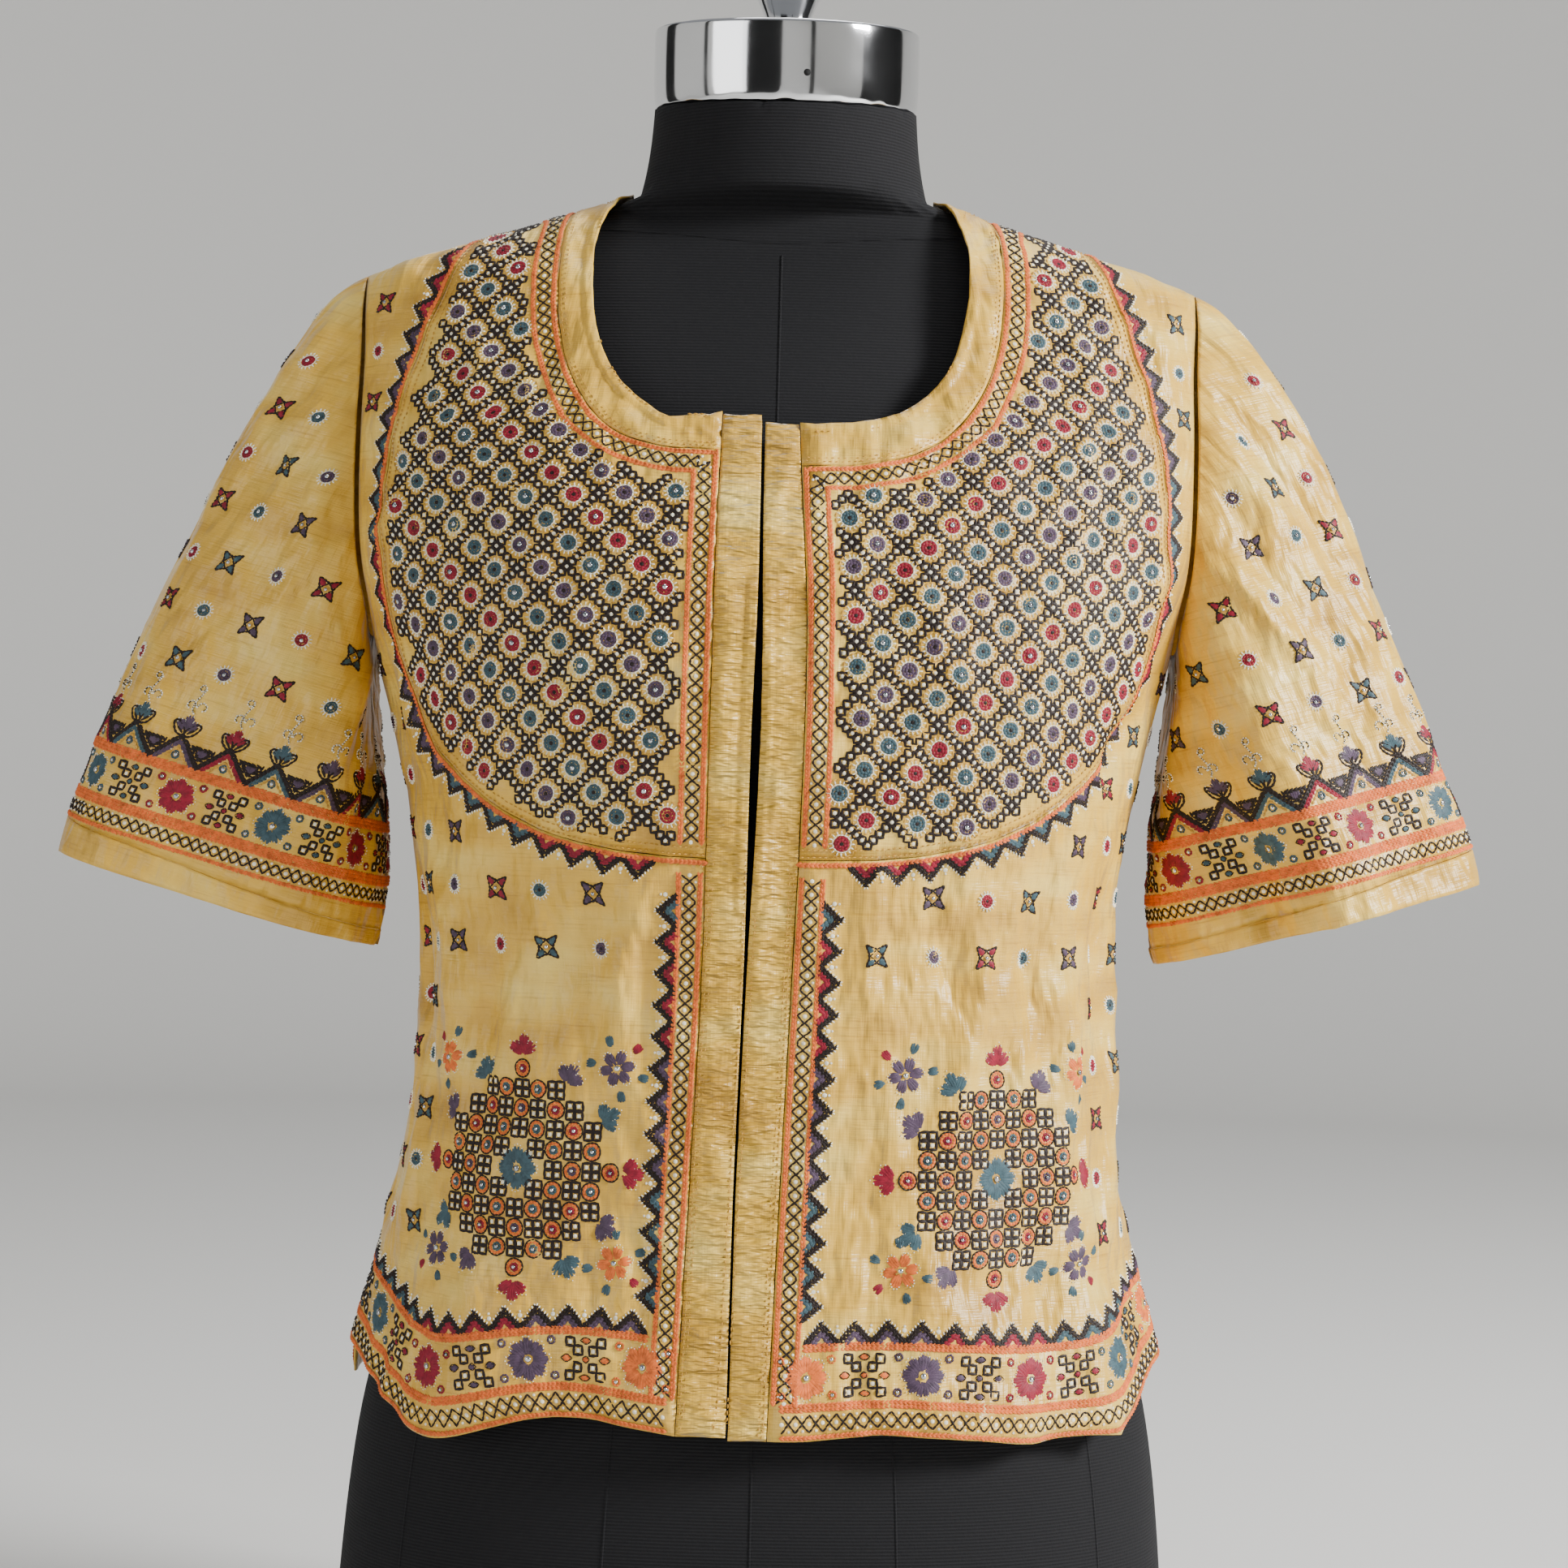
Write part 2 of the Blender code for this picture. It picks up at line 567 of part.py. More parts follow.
def back_grids():
    """The grids of the back and of its neck band."""
    left, right = math.pi / 2, 3 * math.pi / 2
    side_places = side_seam()
    arm = np.array([armhole(turn) for turn in armhole_turns(-1)])
    rise = np.concatenate([side_places, arm[1:]])
    far = rise.copy()
    far[:, 0] = 2 * math.pi - far[:, 0]
    foot = hem_run(left, right, COLUMNS_BACK)
    neck_columns = COLUMNS_BACK - 2 * COLUMNS_SIDE
    band_height = height_on_shoulder(BAND_SHOULDER)
    scoop = back_line(BACK_BAND_SEAM, (BAND_SHOULDER, band_height), neck_columns)
    neck = back_line(BACK_NECK_EDGE, SHOULDER_NECK, neck_columns)
    head = np.concatenate(
        [
            between((left, SHOULDER_TIP[1]), (left, band_height), COLUMNS_SIDE),
            scoop[1:-1],
            between((right, band_height), (right, SHOULDER_TIP[1]), COLUMNS_SIDE),
        ]
    )
    back = patch(foot, head, rise, far)
    across = patch(
        scoop,
        neck,
        between(scoop[0], neck[0], COLUMNS_BAND),
        between(scoop[-1], neck[-1], COLUMNS_BAND),
    )
    return {"back": (back,), "neck_band_back": (across,)}


def edge_inset(points, normals, sign, edges):
    """Moves the named edges of a grid in along the cloth, by its share of the gap at a seam."""
    rows, columns = points.shape[:2]
    moved = points.copy()

    def shift(i, j, before, after, turn):
        inward = np.cross(normals[i, j], points[after] - points[before]) * turn * sign
        moved[i, j] += inward / np.linalg.norm(inward) * SEAM_GAP * INSET_SHARE

    for j in range(columns):
        left, right = max(j - 1, 0), min(j + 1, columns - 1)
        if "foot" in edges:
            shift(0, j, (0, left), (0, right), 1)
        if "head" in edges:
            shift(rows - 1, j, (rows - 1, left), (rows - 1, right), -1)
    for i in range(rows):
        below, above = max(i - 1, 0), min(i + 1, rows - 1)
        if "inner" in edges:
            shift(i, 0, (below, 0), (above, 0), -1)
        if "outer" in edges:
            shift(i, columns - 1, (below, columns - 1), (above, columns - 1), 1)
    return moved


def cloth_layers(mesh, points, normals):
    """The corners of a sheet's outer and inner sides, from the grid of its middle."""
    layers = []
    for sign in (1, -1):
        offset = points + sign * normals * CLOTH / 2
        layers.append([[mesh.verts.new(corner) for corner in row] for row in offset])
    return layers


def wall(name, points, normals, material):
    """One closed sheet of cloth, from the grid of its middle and the directions out of it."""
    rows, columns = points.shape[:2]
    points = edge_inset(points, normals, 1, ALL_EDGES)
    mesh = bmesh.new()
    outer, inner = cloth_layers(mesh, points, normals)
    for i in range(rows - 1):
        for j in range(columns - 1):
            k = j + 1
            mesh.faces.new((outer[i][j], outer[i][k], outer[i + 1][k], outer[i + 1][j]))
            mesh.faces.new((inner[i][j], inner[i + 1][j], inner[i + 1][k], inner[i][k]))
    for j in range(columns - 1):
        k = j + 1
        mesh.faces.new((outer[0][k], outer[0][j], inner[0][j], inner[0][k]))
        mesh.faces.new((outer[-1][j], outer[-1][k], inner[-1][k], inner[-1][j]))
    for i in range(rows - 1):
        mesh.faces.new((outer[i][0], outer[i + 1][0], inner[i + 1][0], inner[i][0]))
        mesh.faces.new((outer[i + 1][-1], outer[i][-1], inner[i][-1], inner[i + 1][-1]))
    finish(name, mesh, material)


def joined_wall(name, first, second, material):
    """One closed sheet from two grids that share a column, the first one lower than the second."""
    mesh = bmesh.new()
    walls = (first, second)
    low, tall = first[0].shape[0], second[0].shape[0]
    last, end = first[0].shape[1] - 1, second[0].shape[1] - 1
    layers = {}
    for sign in (1, -1):
        for k, (points, normals) in enumerate(walls):
            offset = points + sign * normals * CLOTH / 2
            for i in range(points.shape[0]):
                for j in range(points.shape[1]):
                    shared = k == 1 and j == 0 and i < low
                    layers[sign, k, i, j] = (
                        layers[sign, 0, i, last] if shared else mesh.verts.new(offset[i, j])
                    )
    for k, (points, _) in enumerate(walls):
        for i in range(points.shape[0] - 1):
            for j in range(points.shape[1] - 1):
                corners = ((i, j), (i, j + 1), (i + 1, j + 1), (i + 1, j))
                mesh.faces.new([layers[1, k, *corner] for corner in corners])
                mesh.faces.new([layers[-1, k, *corner] for corner in reversed(corners)])
    outline = [(0, 0, j) for j in range(last)]
    outline += [(1, 0, j) for j in range(end)]
    outline += [(1, i, end) for i in range(tall - 1)]
    outline += [(1, tall - 1, j) for j in range(end, 0, -1)]
    outline += [(1, i, 0) for i in range(tall - 1, low - 1, -1)]
    outline += [(0, low - 1, j) for j in range(last, 0, -1)]
    outline += [(0, i, 0) for i in range(low - 1, 0, -1)]
    for place, after in zip(outline, outline[1:] + outline[:1]):
        mesh.faces.new(
            (layers[1, *after], layers[1, *place], layers[-1, *place], layers[-1, *after])
        )
    finish(name, mesh, material)


def finish(name, mesh, material):
    """Makes the object from its mesh, with its faces out and shaded smooth."""
    bmesh.ops.recalc_face_normals(mesh, faces=mesh.faces)
    data = bpy.data.meshes.new(name)
    mesh.to_mesh(data)
    mesh.free()
    data.materials.append(material)
    data.shade_smooth()
    data.set_sharp_from_angle(angle=SHARP_ANGLE)
    bpy.context.scene.collection.objects.link(bpy.data.objects.new(name, data))


def on_body(grid):
    """The points and the outward directions of a grid on the body."""
    points = np.array([[body(*place) for place in row] for row in grid])
    normals = np.array([[surface_normal(body, *place) for place in row] for row in grid])
    return points, normals


def make_material(name, look):
    """A plain material with its colour, roughness and metallic value."""
    colour, roughness, metallic = look
    material = bpy.data.materials.new(name)
    material.use_nodes = True
    shader = material.node_tree.nodes["Principled BSDF"]
    shader.inputs["Base Color"].default_value = (*colour, 1.0)
    shader.inputs["Roughness"].default_value = roughness
    shader.inputs["Metallic"].default_value = metallic
    return material


def make_front(side):
    """The four pieces of one front."""
    name = "left" if side > 0 else "right"
    for piece, grids in front_side(side).items():
        parts = [on_body(grid) for grid in grids]
        title = f"{piece}_{name}"
        material = make_material(f"{title}_silk", SILK)
        if len(parts) == 2:
            make_two_part_front(title, parts, side, material)
            continue
        points, normals = parts[0]
        if side < 0:
            points, normals = points[:, ::-1], normals[:, ::-1]
        wall(title, points, normals, material)


def make_two_part_front(title, parts, side, material):
    """The front with its lower panel and its side and shoulder strip in one sheet."""
    (under, under_normals), (outer, outer_normals) = parts
    rows_under, columns_under = under.shape[:2]
    tall = np.concatenate([under, outer[:rows_under, 1:]], axis=1)
    tall_normals = np.concatenate([under_normals, outer_normals[:rows_under, 1:]], axis=1)
    lower = edge_inset(tall, tall_normals, side, ("foot", "inner", "outer"))
    head = edge_inset(under, under_normals, side, ("head",))
    lower[-1, : columns_under - 1] += (head - under)[-1, : columns_under - 1]
    strip, strip_normals = outer[rows_under - 1 :], outer_normals[rows_under - 1 :]
    upper = edge_inset(strip, strip_normals, side, ("head", "inner", "outer"))
    corner_shift = upper[0, 0] - outer[rows_under - 1, 0] + head[-1, -1] - under[-1, -1]
    lower[-1, columns_under - 1] = under[-1, -1] + corner_shift
    moved_under = lower[:, :columns_under]
    moved_outer = outer.copy()
    moved_outer[:rows_under] = lower[:, columns_under - 1 :]
    moved_outer[rows_under:] = upper[1:]
    joined_wall(title, (moved_under, under_normals), (moved_outer, outer_normals), material)


def make_back():
    """The back and its neck band."""
    for name, (grid,) in back_grids().items():
        points, normals = on_body(grid)
        wall(name, points, normals, make_material(f"{name}_silk", SILK))


def sleeve_middle(turn, along, folds):
    """A point on the middle of the wearer's left sleeve: turn round it, and share of its length."""
    arm_angle, arm_height = armhole(turn)
    start = body(arm_angle, arm_height)
    top = (1 + math.cos(turn)) / 2
    leave = top * np.array(SLEEVE_START_TOP) + (1 - top) * np.array(SLEEVE_START_UNDER)
    leave[1] -= SLEEVE_START_SPREAD * math.sin(turn)
    ahead = leave / np.linalg.norm(leave)
    start = start + ahead * (SEAM_GAP + SLEEVE_LAP * abs(math.sin(turn)))
    start[0] += SLEEVE_CLEAR * (1 - top) ** SLEEVE_CLEAR_POWER
    out = np.array([math.cos(CUFF_TILT), 0.0, math.sin(CUFF_TILT)])
    down = np.array([math.sin(CUFF_TILT), 0.0, -math.cos(CUFF_TILT)])
    end = (
        np.array(CUFF_CENTRE)
        + out * CUFF_HALF_WIDTH * math.cos(turn)
        + np.array([0.0, -CUFF_HALF_DEPTH * math.sin(turn), 0.0])
    )
    reach = np.linalg.norm(end - start)
    t = along
    point = (
        (1 + 2 * t) * (1 - t) ** 2 * start
        + t * (1 - t) ** 2 * leave
        + t * t * (3 - 2 * t) * end
        + t * t * (t - 1) * down * reach
    )
    lift = 0.0
    for turn_top, turn_foot, first, last, half, depth in folds:
        share = min(max((t - first) / (last - first), 0.0), 1.0)
        centre = math.radians(turn_top + t * (turn_foot - turn_top))
        away = (turn - centre + math.pi) % (2 * math.pi) - math.pi
        if last < 1.0:
            fade = math.sin(math.pi * share) ** SLEEVE_FADE_POWER
        else:
            fade = ease(share, 0.0, SLEEVE_FADE)
        lift += depth * fade * math.exp(-((away / math.radians(half)) ** 2))
    armhole_middle = np.array([start[0], 0.0, (ARMHOLE_TOP + ARMHOLE_FOOT) / 2])
    middle = np.array(CUFF_CENTRE) * t + armhole_middle * (1 - t)
    outward = start + (end - start) * t - middle
    outward -= down * np.dot(outward, down)
    return point + lift * outward / np.linalg.norm(outward)


def make_sleeve(side):
    """A sleeve and the plain band at its end."""
    name = "left" if side > 0 else "right"
    folds = SLEEVE_FOLDS_LEFT if side > 0 else SLEEVE_FOLDS_RIGHT
    turns = armhole_turns(1)[::-1] + armhole_turns(-1)[1:-1]

    def place(turn, along):
        return sleeve_middle(turn, along, folds)

    length = np.linalg.norm(place(0.0, 1.0) - place(0.0, 1.0 - END_STEP)) / END_STEP
    band_start = 1 - CUFF_BAND / length
    for title, first, last, rows in (
        (f"sleeve_{name}", 0.0, band_start, ROWS_SLEEVE),
        (f"cuff_band_{name}", band_start, 1.0, 1),
    ):
        shares = np.linspace(first, last, rows + 1)
        points = np.array([[place(turn, share) for turn in turns] for share in shares])
        normals = np.array(
            [[surface_normal(place, turn, share) for turn in turns] for share in shares]
        )
        if np.dot(normals[0, 0], (1, 0, 1)) < 0:
            normals = -normals
        if side < 0:
            points = points * np.array([-1, 1, 1])
            normals = normals * np.array([-1, 1, 1])
        sleeve_wall(title, points, normals, make_material(f"{title}_silk", SILK))


def sleeve_wall(title, points, normals, material):
    """A tube of cloth; its ends are moved in by half of the gap at a seam."""
    moved = points.copy()
    for row, inner in ((0, 1), (-1, -2)):
        step = points[inner] - points[row]
        moved[row] += step / np.linalg.norm(step, axis=1, keepdims=True) * SEAM_GAP * INSET_SHARE
    mesh = bmesh.new()
    rows, columns = moved.shape[:2]
    outside_layer, inside_layer = cloth_layers(mesh, moved, normals)
    for j in range(columns):
        k = (j + 1) % columns
        outer, inner = (
            [(row[j], row[k]) for row in layer] for layer in (outside_layer, inside_layer)
        )
        for i in range(rows - 1):
            mesh.faces.new((*outer[i], *outer[i + 1][::-1]))
            mesh.faces.new((*inner[i + 1], *inner[i][::-1]))
        mesh.faces.new((*outer[0][::-1], *inner[0]))
        mesh.faces.new((*outer[-1], *inner[-1][::-1]))
    finish(title, mesh, material)


def form_rows():
    """Every cross-section of the form, from its base to the top of its neck."""
    rows = list(FORM_RINGS)
    for height in FORM_SHOULDER_HEIGHTS:
        _, front, back, _ = ring(height)
        wide = shoulder_half_width(height) - FORM_UNDER_SHOULDER
        rows.append((height, wide, front - FORM_SHOULDER_INSET, back - FORM_SHOULDER_INSET))
    return rows + list(NECK_RINGS)


def make_form():
    """The torso, in one closed body that stands on its flat base."""
    mesh = bmesh.new()
    loops = []
    for height, wide, front, back in form_rows():
        rounding = ease(height, FORM_SQUARE_FROM, FORM_SQUARE_TO)
        square = SQUARE_BODY + (SQUARE_SHOULDER - SQUARE_BODY) * rounding
        tilt = math.tan(NECK_TILT) * ease(height, NECK_TILT_FROM, NECK_TILT_TO)
        loop = []
        for k in range(FORM_SIDES):
            x, y = around(2 * math.pi * k / FORM_SIDES, wide, front, back, square)
            loop.append(mesh.verts.new((x, y, height + (y - NECK_CENTRE) * tilt)))
        loops.append(loop)
    for lower, upper in zip(loops, loops[1:]):
        for k in range(FORM_SIDES):
            after = (k + 1) % FORM_SIDES
            mesh.faces.new((lower[k], lower[after], upper[after], upper[k]))
    mesh.faces.new(loops[0][::-1])
    mesh.faces.new(loops[-1])
    finish("form_torso", mesh, make_material("black_jersey", JERSEY))


def turned(name, profile, sides, place, material):
    """A solid turned round its own axis, then tilted with the neck and put in place."""
    mesh = bmesh.new()
    loops = []
    for radius, height in profile:
        turns = [2 * math.pi * k / sides for k in range(sides)]
        loops.append(
            [mesh.verts.new((radius * math.cos(turn), radius * math.sin(turn), height)) for turn in turns]
        )
    for lower, upper in zip(loops, loops[1:]):
        for k in range(sides):
            after = (k + 1) % sides
            mesh.faces.new((lower[k], lower[after], upper[after], upper[k]))
    mesh.faces.new(loops[0][::-1])
    mesh.faces.new(loops[-1])
    for vertex in mesh.verts:
        x, y, z = vertex.co
        vertex.co = (
            x + place[0],
            y * math.cos(NECK_TILT) - z * math.sin(NECK_TILT) + place[1],
            y * math.sin(NECK_TILT) + z * math.cos(NECK_TILT) + place[2],
        )
    finish(name, mesh, material)


def make_cap():
    """The metal cap on the neck, and the finial on the cap."""
    foot = NECK_RINGS[-1][0] + SEAM_GAP
    rim = [
        (CAP_RADIUS - CAP_EDGE, 0.0),
        (CAP_RADIUS, CAP_EDGE),
        (CAP_RADIUS, CAP_HEIGHT - CAP_EDGE),
        (CAP_RADIUS - CAP_EDGE_MIDDLE, CAP_HEIGHT - CAP_EDGE_MIDDLE),
        (CAP_RADIUS - CAP_EDGE, CAP_HEIGHT),
    ]
    chrome = make_material("chrome_cap", CHROME)
    turned("neck_cap", rim, CAP_SIDES, (0.0, NECK_CENTRE, foot), chrome)
    lift = CAP_HEIGHT + SEAM_GAP
    top = (0.0, NECK_CENTRE - lift * math.sin(NECK_TILT), foot + lift * math.cos(NECK_TILT))
    turned("finial", FINIAL_PROFILE, CAP_SIDES // 2, top, make_material("chrome_finial", CHROME))


def main():
    for old in list(bpy.context.scene.objects):
        bpy.data.objects.remove(old, do_unlink=True)
    make_form()
    make_cap()
    for side in (-1, 1):
        make_front(side)
        make_sleeve(side)
    make_back()


if __name__ == "__main__":
    main()
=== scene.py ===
"""An embroidered raw silk choli blouse on a black jersey dress form with a chrome neck cap.

Metres, +Z up, front at -Y, the wearer's left at +X. Every place on the cloth is also known
flat, as u round the cloth and v up it, so that creases and needlework are laid out as on a
cutting table and then carried onto the worn cloth.
"""

import math

import bmesh
import bpy
import numpy as np
from bpy.props import FloatProperty, FloatVectorProperty, PointerProperty
from mathutils import Matrix, Vector, noise
from mathutils.bvhtree import BVHTree
from mathutils.kdtree import KDTree


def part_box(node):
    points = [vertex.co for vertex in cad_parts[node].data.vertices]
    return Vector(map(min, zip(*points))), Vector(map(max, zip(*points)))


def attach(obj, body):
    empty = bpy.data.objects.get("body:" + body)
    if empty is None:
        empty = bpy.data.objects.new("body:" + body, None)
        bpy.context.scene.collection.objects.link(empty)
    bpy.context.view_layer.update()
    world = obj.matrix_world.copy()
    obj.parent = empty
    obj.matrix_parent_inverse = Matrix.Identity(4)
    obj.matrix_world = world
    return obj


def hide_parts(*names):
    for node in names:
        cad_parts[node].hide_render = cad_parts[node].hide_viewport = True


bl_info = {
    "name": "Choli Blouse",
    "version": (1, 0, 0),
    "blender": (4, 5, 0),
    "location": "View3D > Sidebar > Choli",
    "description": "Builds an embroidered raw silk choli blouse on a dress form",
    "category": "Object",
}

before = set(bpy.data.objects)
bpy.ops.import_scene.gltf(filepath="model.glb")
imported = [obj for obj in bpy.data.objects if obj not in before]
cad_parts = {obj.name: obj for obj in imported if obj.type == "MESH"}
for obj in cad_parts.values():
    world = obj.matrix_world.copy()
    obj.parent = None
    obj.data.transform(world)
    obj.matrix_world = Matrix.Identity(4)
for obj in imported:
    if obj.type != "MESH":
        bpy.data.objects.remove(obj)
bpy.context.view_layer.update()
MM = 0.001

# Cloth nodes, and how sharply a side, a corner or a seam turns, dips and fades
BODY_NODES = (
    "front_right", "front_left", "yoke_right", "yoke_left", "placket_right", "placket_left",
    "neck_band_right", "neck_band_left", "neck_band_back", "back",
)
FINE_NODES = (
    "placket_right", "placket_left", "neck_band_right", "neck_band_left", "neck_band_back",
    "cuff_band_right", "cuff_band_left",
)
FORM_NODES = ("form_torso", "neck_cap", "finial")
WELD = 1e-5
SAME_SIDE = math.radians(48)
CORNER = math.radians(38)
SEAM_REACH = 2.0 * MM
SEAM_DIP, SEAM_FADE = 0.45 * MM, 1.8 * MM
SEWN_FADE = 14.0 * MM

# The flat map of the cloth: the step of its grid, its rays, its lowest rows and its reach
MAP_STEP = 2.0 * MM
RAYS = 720
RAY_REACH = 0.4
LOW_ROWS = 30
EDGE = 0.3
BODY_LOW, BODY_HIGH = 0.146, 0.690
LENGTH_LINE = 0.085
SLEEVE_TILT = math.radians(15.6)
SLEEVE_CUFF = np.array([0.2425, -0.0020, 0.3700])
SLEEVE_LOW, SLEEVE_HIGH = -0.004, 0.290

# The hole in the cap: its radius, its place and how far its dark face stands off the plate
HOLE, HOLE_SIDE, HOLE_UP, HOLE_PROUD = 1.5 * MM, 9.0 * MM, 12.0 * MM, 0.08 * MM

# Seams of the form's cover: half width of the welt, and their places round it in degrees
WELT = 0.7 * MM
NECK_SEAM_HEIGHT, NECK_SEAM_DIP = 0.668, 0.008
SEAM_FOOT, SEAM_TOP, UNDER_NECK = 0.004, 0.45, 0.014
COVER_SEAMS = (0, 28, -28, 62, -62, 118, -118, 152, -152, 180)

# Camera and frame of the picture
EYE = (0.0065, -1.5, 0.426)
FRAME_WIDTH = 0.6955
SENSOR = 36.0
ROLL = math.radians(-1.4)

# Studio: the floor's radius, the radius of its bend, the wall's height and the steps round it
FLOOR_REACH, BEND, WALL_HEIGHT, SWEEP = 3.0, 0.9, 2.6, 96

# Lights: the setting that holds each one's power, its size and its place; then the sky
LIGHTS = (
    ("window_light", "key", 0.7, (2.3, -1.0, 1.5)),
    ("fill_light", "fill", 1.4, (-1.9, -1.6, 0.9)),
    ("top_light", "fill", 1.2, (0.2, 0.5, 2.2)),
)
AIM = (0.0, 0.0, 0.42)
SKY, SKY_STRENGTH = (0.9, 0.92, 0.95, 1.0), 0.34

# Black cards: where each starts and ends, in degrees round from the front to the wearer's left
FLAGS = ((-38, -4), (68, 118), (-128, -112), (20, 24), (-75, -71))
FLAG_REACH, FLAG_HEIGHT = 2.85, 2.4
FLAG_BLACK, HOLE_BLACK = (0.006, 0.006, 0.006), (0.004, 0.004, 0.004)


def linear(code):
    """An sRGB hex colour as the linear values that shaders use."""
    value = int(code.lstrip("#"), 16)
    parts = [(value >> shift & 255) / 255 for shift in (16, 8, 0)]
    return [part / 12.92 if part <= 0.04045 else ((part + 0.055) / 1.055) ** 2.4 for part in parts]


def colour_property(name, description, code):
    """A colour that a user may change."""
    return FloatVectorProperty(
        name=name, description=description, subtype="COLOR", size=3, min=0.0, max=1.0,
        default=linear(code),
    )


class ClothSettings(bpy.types.PropertyGroup):
    """Sizes and colours of the silk."""

    silk: colour_property("Silk", "Colour of the raw silk", "#DDAF3C")
    # This and the next colour are the dark and pale ends of broad blotches over the silk: partly its
    # uneven tone, partly painted shade at the dark end and painted sheen at the pale end
    ochre_tone_and_shade: colour_property("Slub", "Colour of the thick, darker weft threads", "#9C6C1A")
    pale: colour_property("Pale weft", "Colour where the silk shines", "#F6DC7A")
    thickness: FloatProperty(
        name="Thickness", description="Thickness of the silk", default=0.9 * MM, unit="LENGTH"
    )
    crease: FloatProperty(name="Creases", description="Strength of the creases", default=2.3)


class ThreadSettings(bpy.types.PropertyGroup):
    """Colours of the silk floss."""

    brown: colour_property("Brown", "Outlines", "#20140F")
    orange: colour_property("Orange", "Chain-stitched lines", "#DB6A2A")
    crimson: colour_property("Crimson", "Flowers and rings", "#86132A")
    teal: colour_property("Teal", "Flowers and rings", "#3A525A")
    plum: colour_property("Plum", "Flowers and rings", "#4C3B4E")
    cream: colour_property("Cream", "Knots, rays and beaded sprigs", "#F2EAD2")
    gold: colour_property("Gold", "Filling between the motifs", "#C2923A")


class FormSettings(bpy.types.PropertyGroup):
    """Sizes and colours of the dress form."""

    jersey: colour_property("Jersey", "Colour of the cover", "#101012")
    rib: FloatProperty(
        name="Rib", description="Distance between the ribs of the jersey", default=1.4 * MM,
        unit="LENGTH",
    )
    chrome: colour_property("Chrome", "Tint of the plated cap and finial", "#E3E4E6")


class StageSettings(bpy.types.PropertyGroup):
    """Floor, lights and camera."""

    floor: colour_property("Floor", "Colour of the floor and the wall", "#DAD9D6")
    key: FloatProperty(name="Key light", description="Power of the window light", default=160.0)
    fill: FloatProperty(
        name="Fill light", description="Power of each of the two weaker lights", default=16.0
    )


SETTINGS = {
    "choli_cloth": ClothSettings,
    "choli_thread": ThreadSettings,
    "choli_form": FormSettings,
    "choli_stage": StageSettings,
}


def settings(name):
    """The values of one group of settings."""
    return getattr(bpy.context.scene, f"choli_{name}")


# Materials


def add_node(tree, kind, links=(), **values):
    """Adds a shader node, sets its properties and sockets, and links its inputs."""
    node = tree.nodes.new(kind)
    for name, value in values.items():
        if hasattr(node, name) and name not in node.inputs:
            setattr(node, name, value)
        else:
            node.inputs[name.replace("_", " ")].default_value = value
    for socket, source in links:
        tree.links.new(source, node.inputs[socket])
    return node


def new_material(name, **values):
    """A material with its shader's values set, and its tree and shader."""
    material = bpy.data.materials.get(name)
    if material:
        return material, None, None
    material = bpy.data.materials.new(name)
    material.use_nodes = True
    shader = material.node_tree.nodes["Principled BSDF"]
    for socket, value in values.items():
        shader.inputs[socket.replace("_", " ")].default_value = value
    return material, material.node_tree, shader


def plain_finish(name, colour, roughness):
    """A matt finish of one colour."""
    material, _, shader = new_material(name, Roughness=roughness)
    if shader is not None:
        shader.inputs["Base Color"].default_value = (*colour, 1.0)
    return material


def speckle(tree, scale, detail):
    """Noise that is even all over a piece, with so many cells a metre."""
    place = add_node(tree, "ShaderNodeTexCoord").outputs["Object"]
    cells = add_node(
        tree, "ShaderNodeTexNoise", [("Vector", place)], Scale=scale, Detail=detail
    )
    return cells.outputs["Fac"]


def total(tree, first, second):
    """The sum of two values."""
    return add_node(tree, "ShaderNodeMath", [(0, first), (1, second)], operation="ADD").outputs[0]


def bump(tree, height, strength, distance, under=None):
    """The normals of a relief, over those of another one where that is given."""
    links = [("Height", height)] + ([("Normal", under)] if under else [])
    node = add_node(tree, "ShaderNodeBump", links, Strength=strength, Distance=distance)
    return node.outputs["Normal"]


def ramp(tree, source, stops):
    """A colour ramp over a value, from (place, colour) stops."""
    node = add_node(tree, "ShaderNodeValToRGB", [("Fac", source)])
    elements = node.color_ramp.elements
    while len(elements) < len(stops):
        elements.new(0.5)
    for element, (place, colour) in zip(elements, stops):
        element.position = place
        element.color = (*colour, 1.0)
    return node.outputs["Color"]


# Raw silk: how much of its tones, partly its uneven colour and partly painted sheen and shade, and of its
# streaks show, and the height of its relief
TONED, STREAKED = 0.6, 0.55
SLUB_RELIEF, CRINKLE_RELIEF, CRUSH_RELIEF = 0.6 * MM, 8.0 * MM, 3.4 * MM


